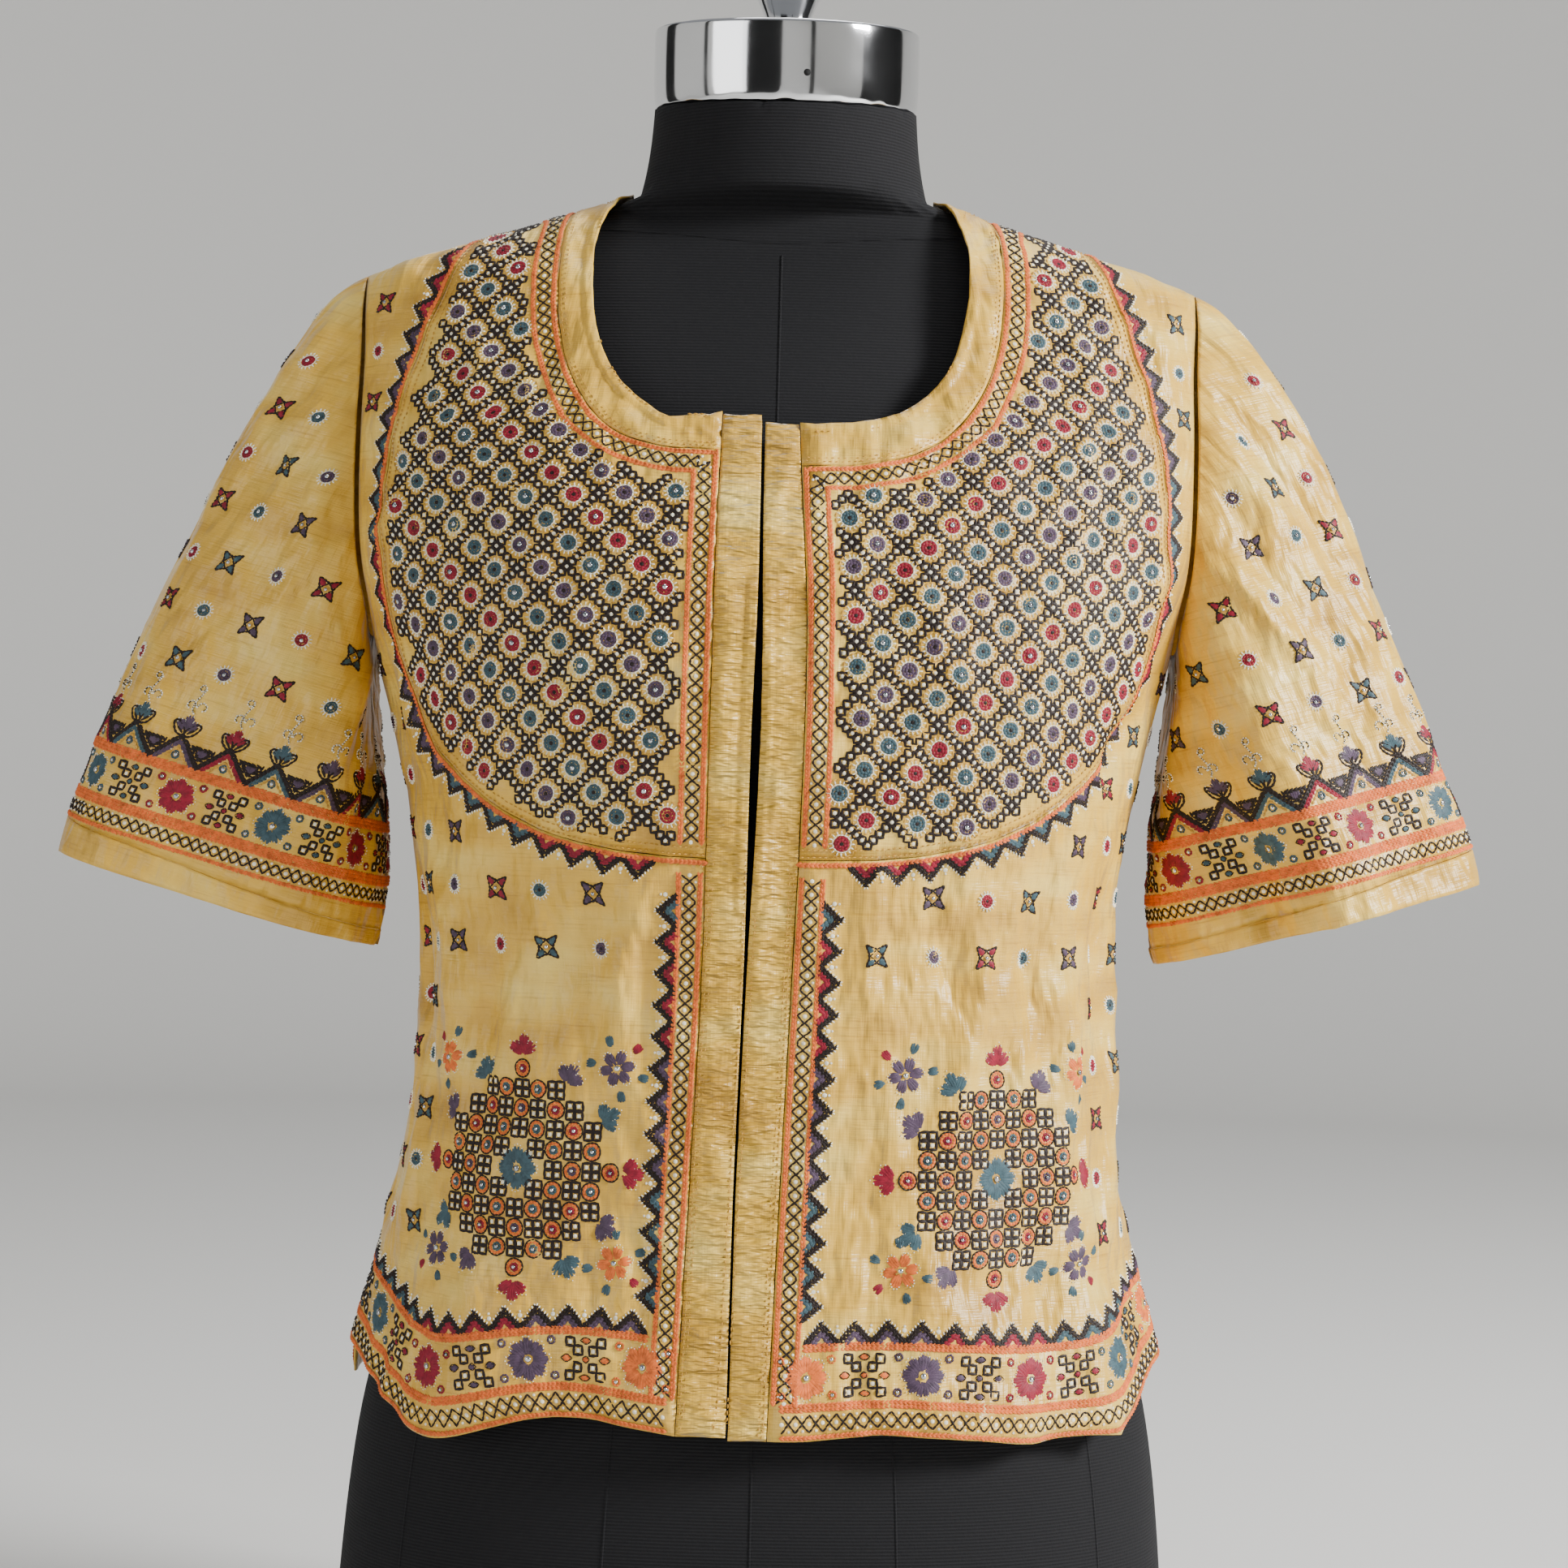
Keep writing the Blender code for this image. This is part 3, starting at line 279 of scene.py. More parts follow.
def raw_silk(name="handwoven_raw_silk", crinkle=(15.0, 30.0)):
    """Handwoven raw silk: uneven weft slubs run across it, and its filaments shine softly."""
    material, tree, shader = new_material(
        name, Roughness=0.38, Sheen_Weight=0.25, Sheen_Roughness=0.3, Specular_IOR_Level=0.55,
    )
    if tree is None:
        return material
    cloth = settings("cloth")
    flat = add_node(tree, "ShaderNodeUVMap", uv_map="cut")

    def pattern(along, up, detail, offset=0.0, kind="FBM"):
        """Noise whose cells are so many millimetres along the weft and up the warp."""
        place = add_node(
            tree, "ShaderNodeMapping", [("Vector", flat.outputs["UV"])],
            Scale=(1000 / along, 1000 / up, 1.0), Location=(offset, offset, 0.0),
        )
        cells = add_node(
            tree, "ShaderNodeTexNoise", [("Vector", place.outputs["Vector"])], Scale=1.0,
            Detail=detail, Roughness=0.55, noise_type=kind,
        )
        return cells.outputs["Fac"]

    # Broad blotches from a darker ochre to a pale gold: partly the silk's uneven tone, partly painted
    # shade and painted sheen
    broad = pattern(60, 35, 2.0)
    slubs = pattern(30, 1.1, 2.0, 3.0)
    threads = pattern(7.0, 0.8, 1.0, 9.0)
    warp = pattern(0.9, 12.0, 1.0, 17.0)
    tone = ramp(
        tree, broad, ((0.28, cloth.ochre_tone_and_shade[:]), (0.5, cloth.silk[:]), (0.72, cloth.pale[:]))
    )
    streaks = ramp(
        tree, slubs, ((0.28, (0.62, 0.52, 0.36)), (0.42, (0.94, 0.92, 0.88)), (0.7, (1, 1, 1)))
    )
    body = add_node(tree, "ShaderNodeMix", [(7, tone)], data_type="RGBA", blend_type="MIX")
    body.inputs[0].default_value = TONED
    body.inputs[6].default_value = (*cloth.silk[:], 1.0)
    streaked = add_node(
        tree, "ShaderNodeMix", [(6, body.outputs[2]), (7, streaks)], data_type="RGBA",
        blend_type="MULTIPLY",
    )
    streaked.inputs[0].default_value = STREAKED
    tree.links.new(streaked.outputs[2], shader.inputs["Base Color"])
    normal = bump(tree, total(tree, total(tree, slubs, threads), warp), 0.35, SLUB_RELIEF)
    normal = bump(tree, pattern(*crinkle, 2.0, 31.0), 0.9, CRINKLE_RELIEF, normal)
    ridges = pattern(34.0, 62.0, 3.0, 57.0, "RIDGED_MULTIFRACTAL")
    normal = bump(tree, ridges, 0.9, CRUSH_RELIEF, normal)
    tree.links.new(normal, shader.inputs["Normal"])
    return material


def black_jersey():
    """Ribbed polyester jersey: matt black, with fine ribs round the form."""
    material, tree, shader = new_material(
        "ribbed_black_jersey", Roughness=0.85, Specular_IOR_Level=0.25,
    )
    if tree is None:
        return material
    form = settings("form")
    place = add_node(tree, "ShaderNodeTexCoord")
    ribs = add_node(
        tree, "ShaderNodeTexWave", [("Vector", place.outputs["Object"])], wave_type="BANDS",
        bands_direction="Z", Scale=0.314159 / form.rib, Distortion=0.6, Detail=1.0,
    )
    ribs.inputs["Detail Scale"].default_value = 20.0
    fuzz = speckle(tree, 900.0, 2.0)
    # The ribs' crests are painted lighter than their grooves: a painted highlight on each crest and
    # painted shade in each groove
    light = [min(part * 1.8, 1.0) for part in form.jersey]
    tone = ramp(tree, ribs.outputs["Fac"], ((0.15, form.jersey[:]), (0.9, light)))
    tree.links.new(tone, shader.inputs["Base Color"])
    normal = bump(tree, total(tree, ribs.outputs["Fac"], fuzz), 0.5, 0.4 * MM)
    tree.links.new(normal, shader.inputs["Normal"])
    return material


def chrome_plate():
    """Bright chrome plate on steel: mirror clear, with faint wiping marks."""
    material, tree, shader = new_material("bright_chrome_plate", Metallic=1.0, Roughness=0.07)
    if tree is None:
        return material
    form = settings("form")
    marks = speckle(tree, 55.0, 4.0)
    rough = add_node(tree, "ShaderNodeMapRange", [("Value", marks)], To_Min=0.05, To_Max=0.14)
    tree.links.new(rough.outputs["Result"], shader.inputs["Roughness"])
    shader.inputs["Base Color"].default_value = (*form.chrome, 1.0)
    return material


# Cloth


def placed(name, data):
    """A new object in the scene."""
    thing = bpy.data.objects.new(name, data)
    bpy.context.scene.collection.objects.link(thing)
    return thing


def dressed(name, mesh, material):
    """A new piece of the object, riding on its body."""
    piece = placed(name, mesh)
    mesh.materials.append(material)
    mesh.shade_smooth()
    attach(piece, "root")
    return piece


def node_copy(node):
    """A bmesh of a CAD node with its triangles joined up."""
    work = bmesh.new()
    work.from_mesh(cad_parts[node].data)
    bmesh.ops.remove_doubles(work, verts=work.verts, dist=WELD)
    bmesh.ops.recalc_face_normals(work, faces=work.faces)
    return work


def join_up(work, fold, shape):
    """Joins triangles into quads, where they fold and differ by fewer degrees than these."""
    bmesh.ops.join_triangles(
        work, faces=work.faces, angle_face_threshold=math.radians(fold),
        angle_shape_threshold=math.radians(shape), topology_influence=1.0,
    )


def sides_of(work):
    """The faces in groups, parted where the surface turns sharply."""
    groups = []
    seen = set()
    for start in work.faces:
        if start in seen:
            continue
        seen.add(start)
        group = []
        front = [start]
        while front:
            face = front.pop()
            group.append(face)
            for edge in face.edges:
                for other in edge.link_faces:
                    if other not in seen and face.normal.angle(other.normal, 0.0) < SAME_SIDE:
                        seen.add(other)
                        front.append(other)
        groups.append(group)
    return groups


def keep_corners(work):
    """Marks the corners along an open sheet's edge, so that smoothing leaves them sharp."""
    crease = work.verts.layers.float.new("crease_vert")
    for vertex in work.verts:
        rim = [edge for edge in vertex.link_edges if edge.is_boundary]
        if len(rim) != 2:
            continue
        ways = [(edge.other_vert(vertex).co - vertex.co) for edge in rim]
        if ways[0].angle(-ways[1]) > CORNER:
            vertex[crease] = 1.0


def outer_wall(node):
    """The outer side alone of a cloth node, as quads wherever they join up."""
    work = node_copy(node)
    groups = sorted(sides_of(work), key=lambda group: sum(face.calc_area() for face in group))
    inner = {vertex for face in groups[-2] for vertex in face.verts}
    kept = set(groups[-1])
    front = list(kept)
    while front:
        for edge in front.pop().edges:
            for face in edge.link_faces:
                if face not in kept and inner.isdisjoint(face.verts):
                    kept.add(face)
                    front.append(face)
    bmesh.ops.delete(work, geom=[f for f in work.faces if f not in kept], context="FACES")
    join_up(work, 50, 70)
    keep_corners(work)
    return work


def mesh_from(work, name):
    """A mesh from a bmesh, which is freed."""
    mesh = bpy.data.meshes.new(name)
    work.to_mesh(mesh)
    work.free()
    return mesh


def tree_of(mesh):
    """A ray-casting tree of a mesh's faces."""
    faces = [list(face.vertices) for face in mesh.polygons]
    return BVHTree.FromPolygons(points_of(mesh).tolist(), faces)


def near_tree(points):
    """A nearest-point tree."""
    tree = KDTree(len(points))
    for index, point in enumerate(points):
        tree.insert(point, index)
    tree.balance()
    return tree


def reach_of(tree, points):
    """How far points lie from the nearest point of a tree."""
    return np.array([tree.find(point)[2] for point in points])


def smoothed(work, name, levels):
    """The mesh of a bmesh after smooth subdivision."""
    rough = mesh_from(work, name)
    holder = placed(name, rough)
    finer = holder.modifiers.new("Subdivision", "SUBSURF")
    finer.levels = levels
    finer.render_levels = levels
    finer.boundary_smooth = "PRESERVE_CORNERS"
    graph = bpy.context.evaluated_depsgraph_get()
    mesh = bpy.data.meshes.new_from_object(holder.evaluated_get(graph))
    bpy.data.objects.remove(holder, do_unlink=True)
    bpy.data.meshes.remove(rough)
    mesh.name = name
    return mesh


def points_of(mesh):
    """A mesh's points as an array."""
    flat = np.empty(len(mesh.vertices) * 3)
    mesh.vertices.foreach_get("co", flat)
    return flat.reshape(-1, 3)


class FlatMap:
    """A stretch of worn cloth laid flat: u runs round it and v up it, both in metres."""

    def __init__(self, tree, origins, aheads, sideways, low, length_line):
        turns = np.linspace(-math.pi, math.pi, RAYS + 1)
        rows = []
        hits = []
        for origin in origins:
            hit = np.zeros(RAYS + 1, bool)
            reach = np.zeros(RAYS + 1)
            for k, turn in enumerate(turns):
                way = math.cos(turn) * aheads + math.sin(turn) * sideways
                place, _, _, far = tree.ray_cast(Vector(origin), Vector(way), RAY_REACH)
                if place is not None:
                    hit[k] = True
                    reach[k] = far
            rows.append(reach)
            hits.append(hit)
        hits = np.array(hits)
        rows = self.filled(np.array(rows), hits)
        ways = np.cos(turns)[:, None] * aheads + np.sin(turns)[:, None] * sideways
        rows = origins[:, None, :] + rows[:, :, None] * ways
        steps = np.linalg.norm(np.diff(rows, axis=1), axis=2)
        runs = np.concatenate([np.zeros((len(rows), 1)), np.cumsum(steps, axis=1)], axis=1)
        runs -= runs[:, RAYS // 2, None]
        half = np.min([runs.max(), -runs.min()])
        halves = np.minimum(runs.max(axis=1), -runs.min(axis=1))
        columns = math.floor(half / MAP_STEP)
        self.u = np.arange(-columns, columns + 1) * MAP_STEP
        even = np.array(
            [[np.interp(self.u, runs[i], rows[i, :, k]) for k in range(3)] for i in range(len(rows))]
        )
        even = np.moveaxis(even, 1, 2)
        known = np.array(
            [np.interp(self.u, runs[i], hits[i].astype(float)) for i in range(len(rows))]
        )
        guide = int(np.argmin(abs(self.u - length_line)))
        rise = np.linalg.norm(np.diff(even[:, guide], axis=0), axis=1)
        ups = low + np.concatenate([[0], np.cumsum(rise)])
        self.v = np.arange(ups[0], ups[-1], MAP_STEP)
        at = np.interp(self.v, ups, np.arange(len(ups)))
        below = np.minimum(at.astype(int), len(ups) - 2)
        self.halves = np.interp(at, np.arange(len(ups)), halves)
        share = (at - below)[:, None, None]
        self.places = even[below] * (1 - share) + even[below + 1] * share
        share = share[:, :, 0]
        self.known = known[below] * (1 - share) + known[below + 1] * share
        along_u = np.gradient(self.places, axis=1)
        along_v = np.gradient(self.places, axis=0)
        normals = np.cross(along_u, along_v)
        self.normals = normals / (np.linalg.norm(normals, axis=2, keepdims=True) + 1e-12)
        middle = len(self.v) // 2, len(self.u) // 2
        if np.dot(self.normals[middle], aheads) < 0:
            self.normals = -self.normals
        self.tree = near_tree(self.places.reshape(-1, 3))

    @staticmethod
    def filled(reaches, hits):
        """The rays' lengths, where rays that found no cloth take those above or beside them."""
        lowest = np.argmax(hits, axis=0)
        below = (np.arange(len(hits))[:, None] < lowest) & (lowest < LOW_ROWS)
        reaches = np.where(below, reaches[lowest, np.arange(len(lowest))], reaches)
        hits = hits | below
        whole = np.nonzero(hits.any(axis=1))[0]
        for i in whole:
            known = np.nonzero(hits[i])[0]
            reaches[i] = np.interp(np.arange(reaches.shape[1]), known, reaches[i, known])
        for i in range(len(reaches)):
            reaches[i] = reaches[whole[np.argmin(abs(whole - i))]]
        return reaches

    def blend(self, table, flat):
        """Values of a table at flat places, read between its points."""
        i = np.clip((flat[:, 1] - self.v[0]) / MAP_STEP, 0, len(self.v) - 1.001)
        j = np.clip((flat[:, 0] - self.u[0]) / MAP_STEP, 0, len(self.u) - 1.001)
        i0, j0 = i.astype(int), j.astype(int)
        s, t = i - i0, j - j0
        if table.ndim == 3:
            s, t = s[:, None], t[:, None]
        return (
            table[i0, j0] * (1 - s) * (1 - t)
            + table[i0, j0 + 1] * (1 - s) * t
            + table[i0 + 1, j0] * s * (1 - t)
            + table[i0 + 1, j0 + 1] * s * t
        )

    def worn(self, flat, lift=0.0):
        """Points on the worn cloth, so far off it, from flat places."""
        flat = np.asarray(flat, float)
        normal = self.blend(self.normals, flat)
        normal /= np.linalg.norm(normal, axis=1, keepdims=True) + 1e-12
        lift = np.broadcast_to(lift, len(flat))[:, None]
        return self.blend(self.places, flat) + normal * lift

    def flat(self, points):
        """Flat places of points on the worn cloth."""
        points = np.asarray(points, float)
        nearest = np.array([self.tree.find(point)[1] for point in points])
        i, j = np.divmod(nearest, len(self.u))
        i0, i1 = np.maximum(i - 1, 0), np.minimum(i + 1, len(self.v) - 1)
        j0, j1 = np.maximum(j - 1, 0), np.minimum(j + 1, len(self.u) - 1)
        away = points - self.places[i, j]
        du = (self.places[i, j1] - self.places[i, j0]) / (j1 - j0)[:, None]
        dv = (self.places[i1, j] - self.places[i0, j]) / (i1 - i0)[:, None]
        uu, vv, uv = (du * du).sum(1) + 1e-12, (dv * dv).sum(1) + 1e-12, (du * dv).sum(1)
        au, av = (away * du).sum(1), (away * dv).sum(1)
        whole = np.maximum(uu * vv - uv * uv, 1e-15)
        steps = np.column_stack([(au * vv - av * uv) / whole, (av * uu - au * uv) / whole])
        steps = np.clip(steps, -1.0, 1.0) * MAP_STEP
        return np.column_stack([self.u[j], self.v[i]]) + steps

    def half_at(self, up):
        """Half of the way round the cloth at a distance up it."""
        return np.interp(up, self.v, self.halves)

    def on_cloth(self, flat):
        """Which flat places lie on cloth, and not over an opening or beyond the map."""
        flat = np.asarray(flat, float)
        within = abs(flat[:, 0]) < self.half_at(flat[:, 1])
        return within & (self.blend(self.known, flat) > EDGE)

    def turned_up(self, line):
        """Whether up the cloth is to the left of a line that is read along u."""
        return line[-1, 0] > line[0, 0]


CLOTH = {}
MAPS = {}


def surface_tree(nodes):
    """A ray-casting tree of the outer cloth of several nodes."""
    points, faces = [], []
    for node in nodes:
        mesh = CLOTH[node].data
        start = len(points)
        points += [vertex.co.copy() for vertex in mesh.vertices]
        faces += [[start + index for index in face.vertices] for face in mesh.polygons]
    return BVHTree.FromPolygons(points, faces)


def body_map(tree, sign):
    """The flat map of the body's front, with sign -1, or of its back, with sign 1."""
    heights = np.arange(BODY_LOW, BODY_HIGH, MAP_STEP)
    origins = np.array([[0.0, 0.0, height] for height in heights])
    ahead = np.array([0.0, float(sign), 0.0])
    sideways = np.array([1.0, 0.0, 0.0])
    return FlatMap(tree, origins, ahead, sideways, BODY_LOW, LENGTH_LINE)


def sleeve_map(tree, side):
    """The flat map of a sleeve: v is 0 at the cuff's edge, u is 0 along its outer line."""
    mirror = np.array([side, 1.0, 1.0])
    up = np.array([-math.sin(SLEEVE_TILT), 0.0, math.cos(SLEEVE_TILT)]) * mirror
    ahead = np.array([math.cos(SLEEVE_TILT), 0.0, math.sin(SLEEVE_TILT)]) * mirror
    sideways = np.array([0.0, -1.0, 0.0])
    rises = np.arange(SLEEVE_LOW, SLEEVE_HIGH, MAP_STEP)
    origins = np.array([SLEEVE_CUFF * mirror + rise * up for rise in rises])
    return FlatMap(tree, origins, ahead, sideways, SLEEVE_LOW, 0.0)


def make_maps():
    """Flat maps of the front, the back and both sleeves."""
    tree = surface_tree(BODY_NODES)
    MAPS["front"] = body_map(tree, -1)
    MAPS["back"] = body_map(tree, 1)
    for name, side in (("left", 1), ("right", -1)):
        sleeve = surface_tree((f"sleeve_{name}", f"cuff_band_{name}"))
        MAPS[f"sleeve_{name}"] = sleeve_map(sleeve, side)


def map_of(node):
    """The flat map that a cloth node lies on."""
    if node.startswith(("sleeve", "cuff")):
        return MAPS[f"sleeve_{node.split('_')[-1]}"]
    return MAPS["back" if "back" in node else "front"]


# Needlework

STITCH_HEIGHT = 0.55 * MM
SUNK = 0.35
LIFT = 0.26 * MM
SLANT = math.radians(24)
LINE_STEP = 2.0 * MM
BRIGHT = ("crimson", "teal", "plum")
HEM_TOP = 0.19
SIDES = (("left", 1), ("right", -1))


def rims_of(node):
    """The points along each open edge of a panel, in order."""
    work = bmesh.new()
    work.from_mesh(CLOTH[node].data)
    open_edges = dict.fromkeys(edge for edge in work.edges if edge.is_boundary)
    loops = []
    while open_edges:
        edge, _ = open_edges.popitem()
        first, corner = edge.verts
        loop = [first.co.copy()]
        while corner is not first:
            loop.append(corner.co.copy())
            edge = next(other for other in corner.link_edges if other in open_edges)
            open_edges.pop(edge)
            corner = edge.other_vert(corner)
        loops.append(np.array(loop))
    work.free()
    return loops


def rim_of(node):
    """The points along a panel's open edge; a tube gives its lower one."""
    return min(rims_of(node), key=lambda loop: loop[:, 2].mean())


def loop_points(line):
    """A search tree of closely spaced points along a line."""
    shares = np.linspace(0, 1, 10, endpoint=False)[:, None, None]
    return near_tree((line[:-1] + shares * (line[1:] - line[:-1])).reshape(-1, 3))


def gaps_between(loop, neighbour):
    """How far each point of an edge lies from a neighbouring panel's edge."""
    other = rim_of(neighbour)
    tree = loop_points(np.concatenate([other, other[:1]]))
    return reach_of(tree, loop)


def free_edge(node, rim):
    """Which points of a panel's edge meet no other panel."""
    near = [gaps_between(rim, other) for other in BODY_NODES if other != node]
    return np.min(near, axis=0) > SEAM_REACH


def longest_run(loop, mask):
    """The longest unbroken run of a closed line's points that a mask keeps."""
    if mask.all():
        return loop
    start = int(np.nonzero(~mask)[0][0])
    loop, mask = np.roll(loop, -start, axis=0), np.roll(mask, -start)
    best, run = [], []
    for point, kept in zip(loop, mask):
        run = [*run, point] if kept else []
        if len(run) > len(best):
            best = run
    return np.array(best)


def runs_of(line):
    """How far along a line each of its points is."""
    return np.concatenate([[0], np.cumsum(np.linalg.norm(np.diff(line, axis=0), axis=1))])


def places_at(line, runs, stops):
    """The flat places at given distances along a line."""
    return np.column_stack([np.interp(stops, runs, line[:, k]) for k in range(2)])


def fair(points, flat_step=LINE_STEP, passes=3):
    """A flat line with even steps and its small unevenness smoothed out."""
    runs = runs_of(points)
    stops = np.linspace(0, runs[-1], max(int(runs[-1] / flat_step), 4) + 1)
    line = places_at(points, runs, stops)
    for _ in range(passes):
        line[1:-1] = (line[:-2] + 2 * line[1:-1] + line[2:]) / 4
    return line


def seam(node, neighbour, reach=SEAM_REACH):
    """The flat line where a panel meets its neighbour, read upwards or outwards."""
    loop = rim_of(node)
    run = longest_run(loop, gaps_between(loop, neighbour) < reach)
    line = fair(map_of(node).flat(run))
    rises = line[-1, 1] - line[0, 1] + abs(line[-1, 0]) - abs(line[0, 0])
    return line if rises > 0 else line[::-1]


def outline(node):
    """A panel's whole edge, laid flat."""
    return map_of(node).flat(rim_of(node))


def inside(shape, points):
    """Which flat points lie inside a closed shape."""
    x, y = points[:, 0], points[:, 1]
    odd = np.zeros(len(points), bool)
    for (x0, y0), (x1, y1) in zip(shape, np.roll(shape, -1, axis=0)):
        if y0 != y1:
            odd ^= ((y0 > y) != (y1 > y)) & (x < (x1 - x0) * (y - y0) / (y1 - y0) + x0)
    return odd


def gap_to(line, points):
    """How far flat points lie from a line."""
    return np.hypot(*(points[:, None, k] - line[None, :, k] for k in range(2))).min(axis=1)


def offset(line, away):
    """A flat line moved sideways, to its left where the distance is above 0."""
    ways = np.gradient(line, axis=0)
    ways /= np.linalg.norm(ways, axis=1, keepdims=True)
    return line + away * np.column_stack([-ways[:, 1], ways[:, 0]])


def mitred(first, second):
    """Two lines made one, cut where they come closest."""
    gaps = np.linalg.norm(first[:, None] - second[None], axis=2)
    i, j = np.unravel_index(np.argmin(gaps), gaps.shape)
    return np.concatenate([first[: i + 1], second[j:]])


def stops_along(line, pitch):
    """Even stops on a line, the directions there and the distance between them."""
    runs = runs_of(line)
    count = max(int(round(runs[-1] / pitch)), 1)
    stops = np.linspace(0, runs[-1], count + 1)
    places = places_at(line, runs, stops)
    ways = np.gradient(places, axis=0) if count > 1 else np.repeat(np.diff(places, axis=0), 2, 0)
    return places, np.arctan2(ways[:, 1], ways[:, 0]), runs[-1] / count


def heading(angle):
    """A step of length 1 in a flat direction."""
    return np.array([math.cos(angle), math.sin(angle)])


def headings(angles):
    """Steps of length 1 in several flat directions."""
    return np.column_stack([np.cos(angles), np.sin(angles)])


def lefts(turns):
    """Steps of length 1 to the left of several flat directions."""
    return np.column_stack([-np.sin(turns), np.cos(turns)])


def set_at(points, centre, turn=0.0, size=1.0):
    """A motif's own points, in millimetres, turned and set at a flat place in metres."""
    c, s = math.cos(turn), math.sin(turn)
    points = np.atleast_2d(points) * (size * MM)
    return np.asarray(centre) + points @ np.array([[c, s], [-s, c]])


def circle(radius, count, turn=0.0):
    """Points round a circle, closed, in millimetres."""
    angles = turn + np.linspace(0, math.tau, count + 1)
    return radius * headings(angles)


def grain_shape():
    """One stitch: a pointed mound 2 long, 2 wide and 1 high over the cloth, open underneath."""
    work = bmesh.new()
    bmesh.ops.create_cone(
        work, cap_ends=False, segments=6, radius1=1.0, radius2=0.0, depth=1.0 + SUNK
    )
    bmesh.ops.remove_doubles(work, verts=work.verts, dist=WELD)
    return shape_of(work)


def mirror_shape():
    """A small round glass, 2 across and 1 high over the cloth."""
    work = bmesh.new()
    bmesh.ops.create_cone(
        work, cap_ends=True, segments=12, radius1=1.0, radius2=0.85, depth=1.0 + SUNK
    )
    return shape_of(work)


def shape_of(work):
    """A small shape's points, and its faces as lists of points."""
    bmesh.ops.translate(work, verts=work.verts, vec=(0, 0, (1.0 - SUNK) / 2))
    bmesh.ops.recalc_face_normals(work, faces=work.faces)
    points = np.array([vertex.co[:] for vertex in work.verts])
    faces = [[vertex.index for vertex in face.verts] for face in work.faces]
    work.free()
    return points, faces


class Needlework:
    """Stitches and mirrors laid out flat on one stretch of cloth, gathered by thread."""

    def __init__(self, stretch, seed):
        self.stretch = stretch
        self.cloth = MAPS[stretch]
        self.threads = {}
        self.random = np.random.RandomState(seed)

    def lay(self, thread, places, turns, length, width, height=STITCH_HEIGHT):
        """Lays stitches at flat places: each has a direction, a length and a width."""
        places = np.atleast_2d(places)
        rows = np.empty((len(places), 6))
        rows[:, :2] = places
        rows[:, 2], rows[:, 3], rows[:, 4], rows[:, 5] = turns, length, width, height
        self.threads.setdefault(thread, []).append(rows)

    def run(self, thread, line, width, pitch, overlap=1.2):
        """Stitches end to end along a line."""
        stops = stops_along(line, pitch)[0]
        ways = np.diff(stops, axis=0)
        turns = np.arctan2(ways[:, 1], ways[:, 0])
        lengths = np.linalg.norm(ways, axis=1) * overlap
        self.lay(thread, (stops[1:] + stops[:-1]) / 2, turns, lengths, width)

    def chain(self, thread, line, width=1.7 * MM, pitch=1.9 * MM):
        """A chain-stitched line: pairs of slanting strands, like a plait."""
        stops, turns, step = stops_along(line, pitch)
        across = lefts(turns)
        for side in (-1, 1):
            places = stops + side * 0.24 * width * across
            self.lay(thread, places, turns + side * SLANT, 1.6 * step, 0.76 * width)

    def dots(self, thread, places, size):
        """Round knots."""
        self.lay(thread, places, 0.0, size, size, 0.8 * STITCH_HEIGHT)

    def sewn(self, title):
        """Makes one piece of each thread's stitches, carried onto the worn cloth."""
        for thread, rows in self.threads.items():
            rows = np.concatenate(rows)
            rows = rows[self.cloth.on_cloth(rows[:, :2])]
            if len(rows) == 0:
                continue
            shake = self.random.normal(size=(len(rows), 4))
            rows[:, :2] += 0.07 * MM * shake[:, :2]
            rows[:, 2] += math.radians(3.5) * shake[:, 2]
            rows[:, 3] *= 1 + 0.05 * shake[:, 3]
            mesh = self.joined(f"{title}_{thread}", rows, thread)
            dressed(mesh.name, mesh, THREAD_LOOKS[thread](thread))

    def joined(self, name, rows, thread):
        """One mesh of a small shape repeated at every row."""
        points, faces = MIRROR if thread == "mirror" else GRAIN
        u, v, turn, length, width, height = (rows[:, k, None] for k in range(6))
        along, across = points[:, 0] * length / 2, points[:, 1] * width / 2
        flat = np.stack(
            [
                u + along * np.cos(turn) - across * np.sin(turn),
                v + along * np.sin(turn) + across * np.cos(turn),
            ],
            axis=2,
        )
        lift = points[:, 2] * height + LIFT
        worn = self.cloth.worn(flat.reshape(-1, 2), lift.ravel())
        starts = np.cumsum([0] + [len(face) for face in faces])
        corners = np.concatenate([np.array(face) for face in faces])
        count = len(rows)
        mesh = bpy.data.meshes.new(name)
        mesh.vertices.add(len(worn))
        mesh.vertices.foreach_set("co", worn.ravel())
        mesh.loops.add(count * len(corners))
        shifts = np.arange(count)[:, None] * len(points)
        mesh.loops.foreach_set("vertex_index", (shifts + corners).ravel())
        mesh.polygons.add(count * len(faces))
        shifts = np.arange(count)[:, None] * len(corners)
        mesh.polygons.foreach_set("loop_start", (shifts + starts[:-1]).ravel())
        mesh.update(calc_edges=True)
        return mesh


GRAIN, MIRROR = grain_shape(), mirror_shape()


def silk_floss(thread):
    """Loosely twisted silk floss: satin bright along the stitch, darker between the strands."""
    material, tree, shader = new_material(
        f"silk_floss_{thread}", Roughness=0.55, Specular_IOR_Level=0.3,
    )
    if tree is None:
        return material
    colour = getattr(settings("thread"), thread)[:]
    dark = [part * 0.65 for part in colour]
    light = [min(part * 1.25, 1.0) for part in colour]
    tone = ramp(tree, speckle(tree, 420.0, 2.0), ((0.3, dark), (0.5, colour), (0.72, light)))
    tree.links.new(tone, shader.inputs["Base Color"])
    normal = bump(tree, speckle(tree, 2600.0, 1.0), 0.5, 0.2 * MM)
    tree.links.new(normal, shader.inputs["Normal"])
    return material


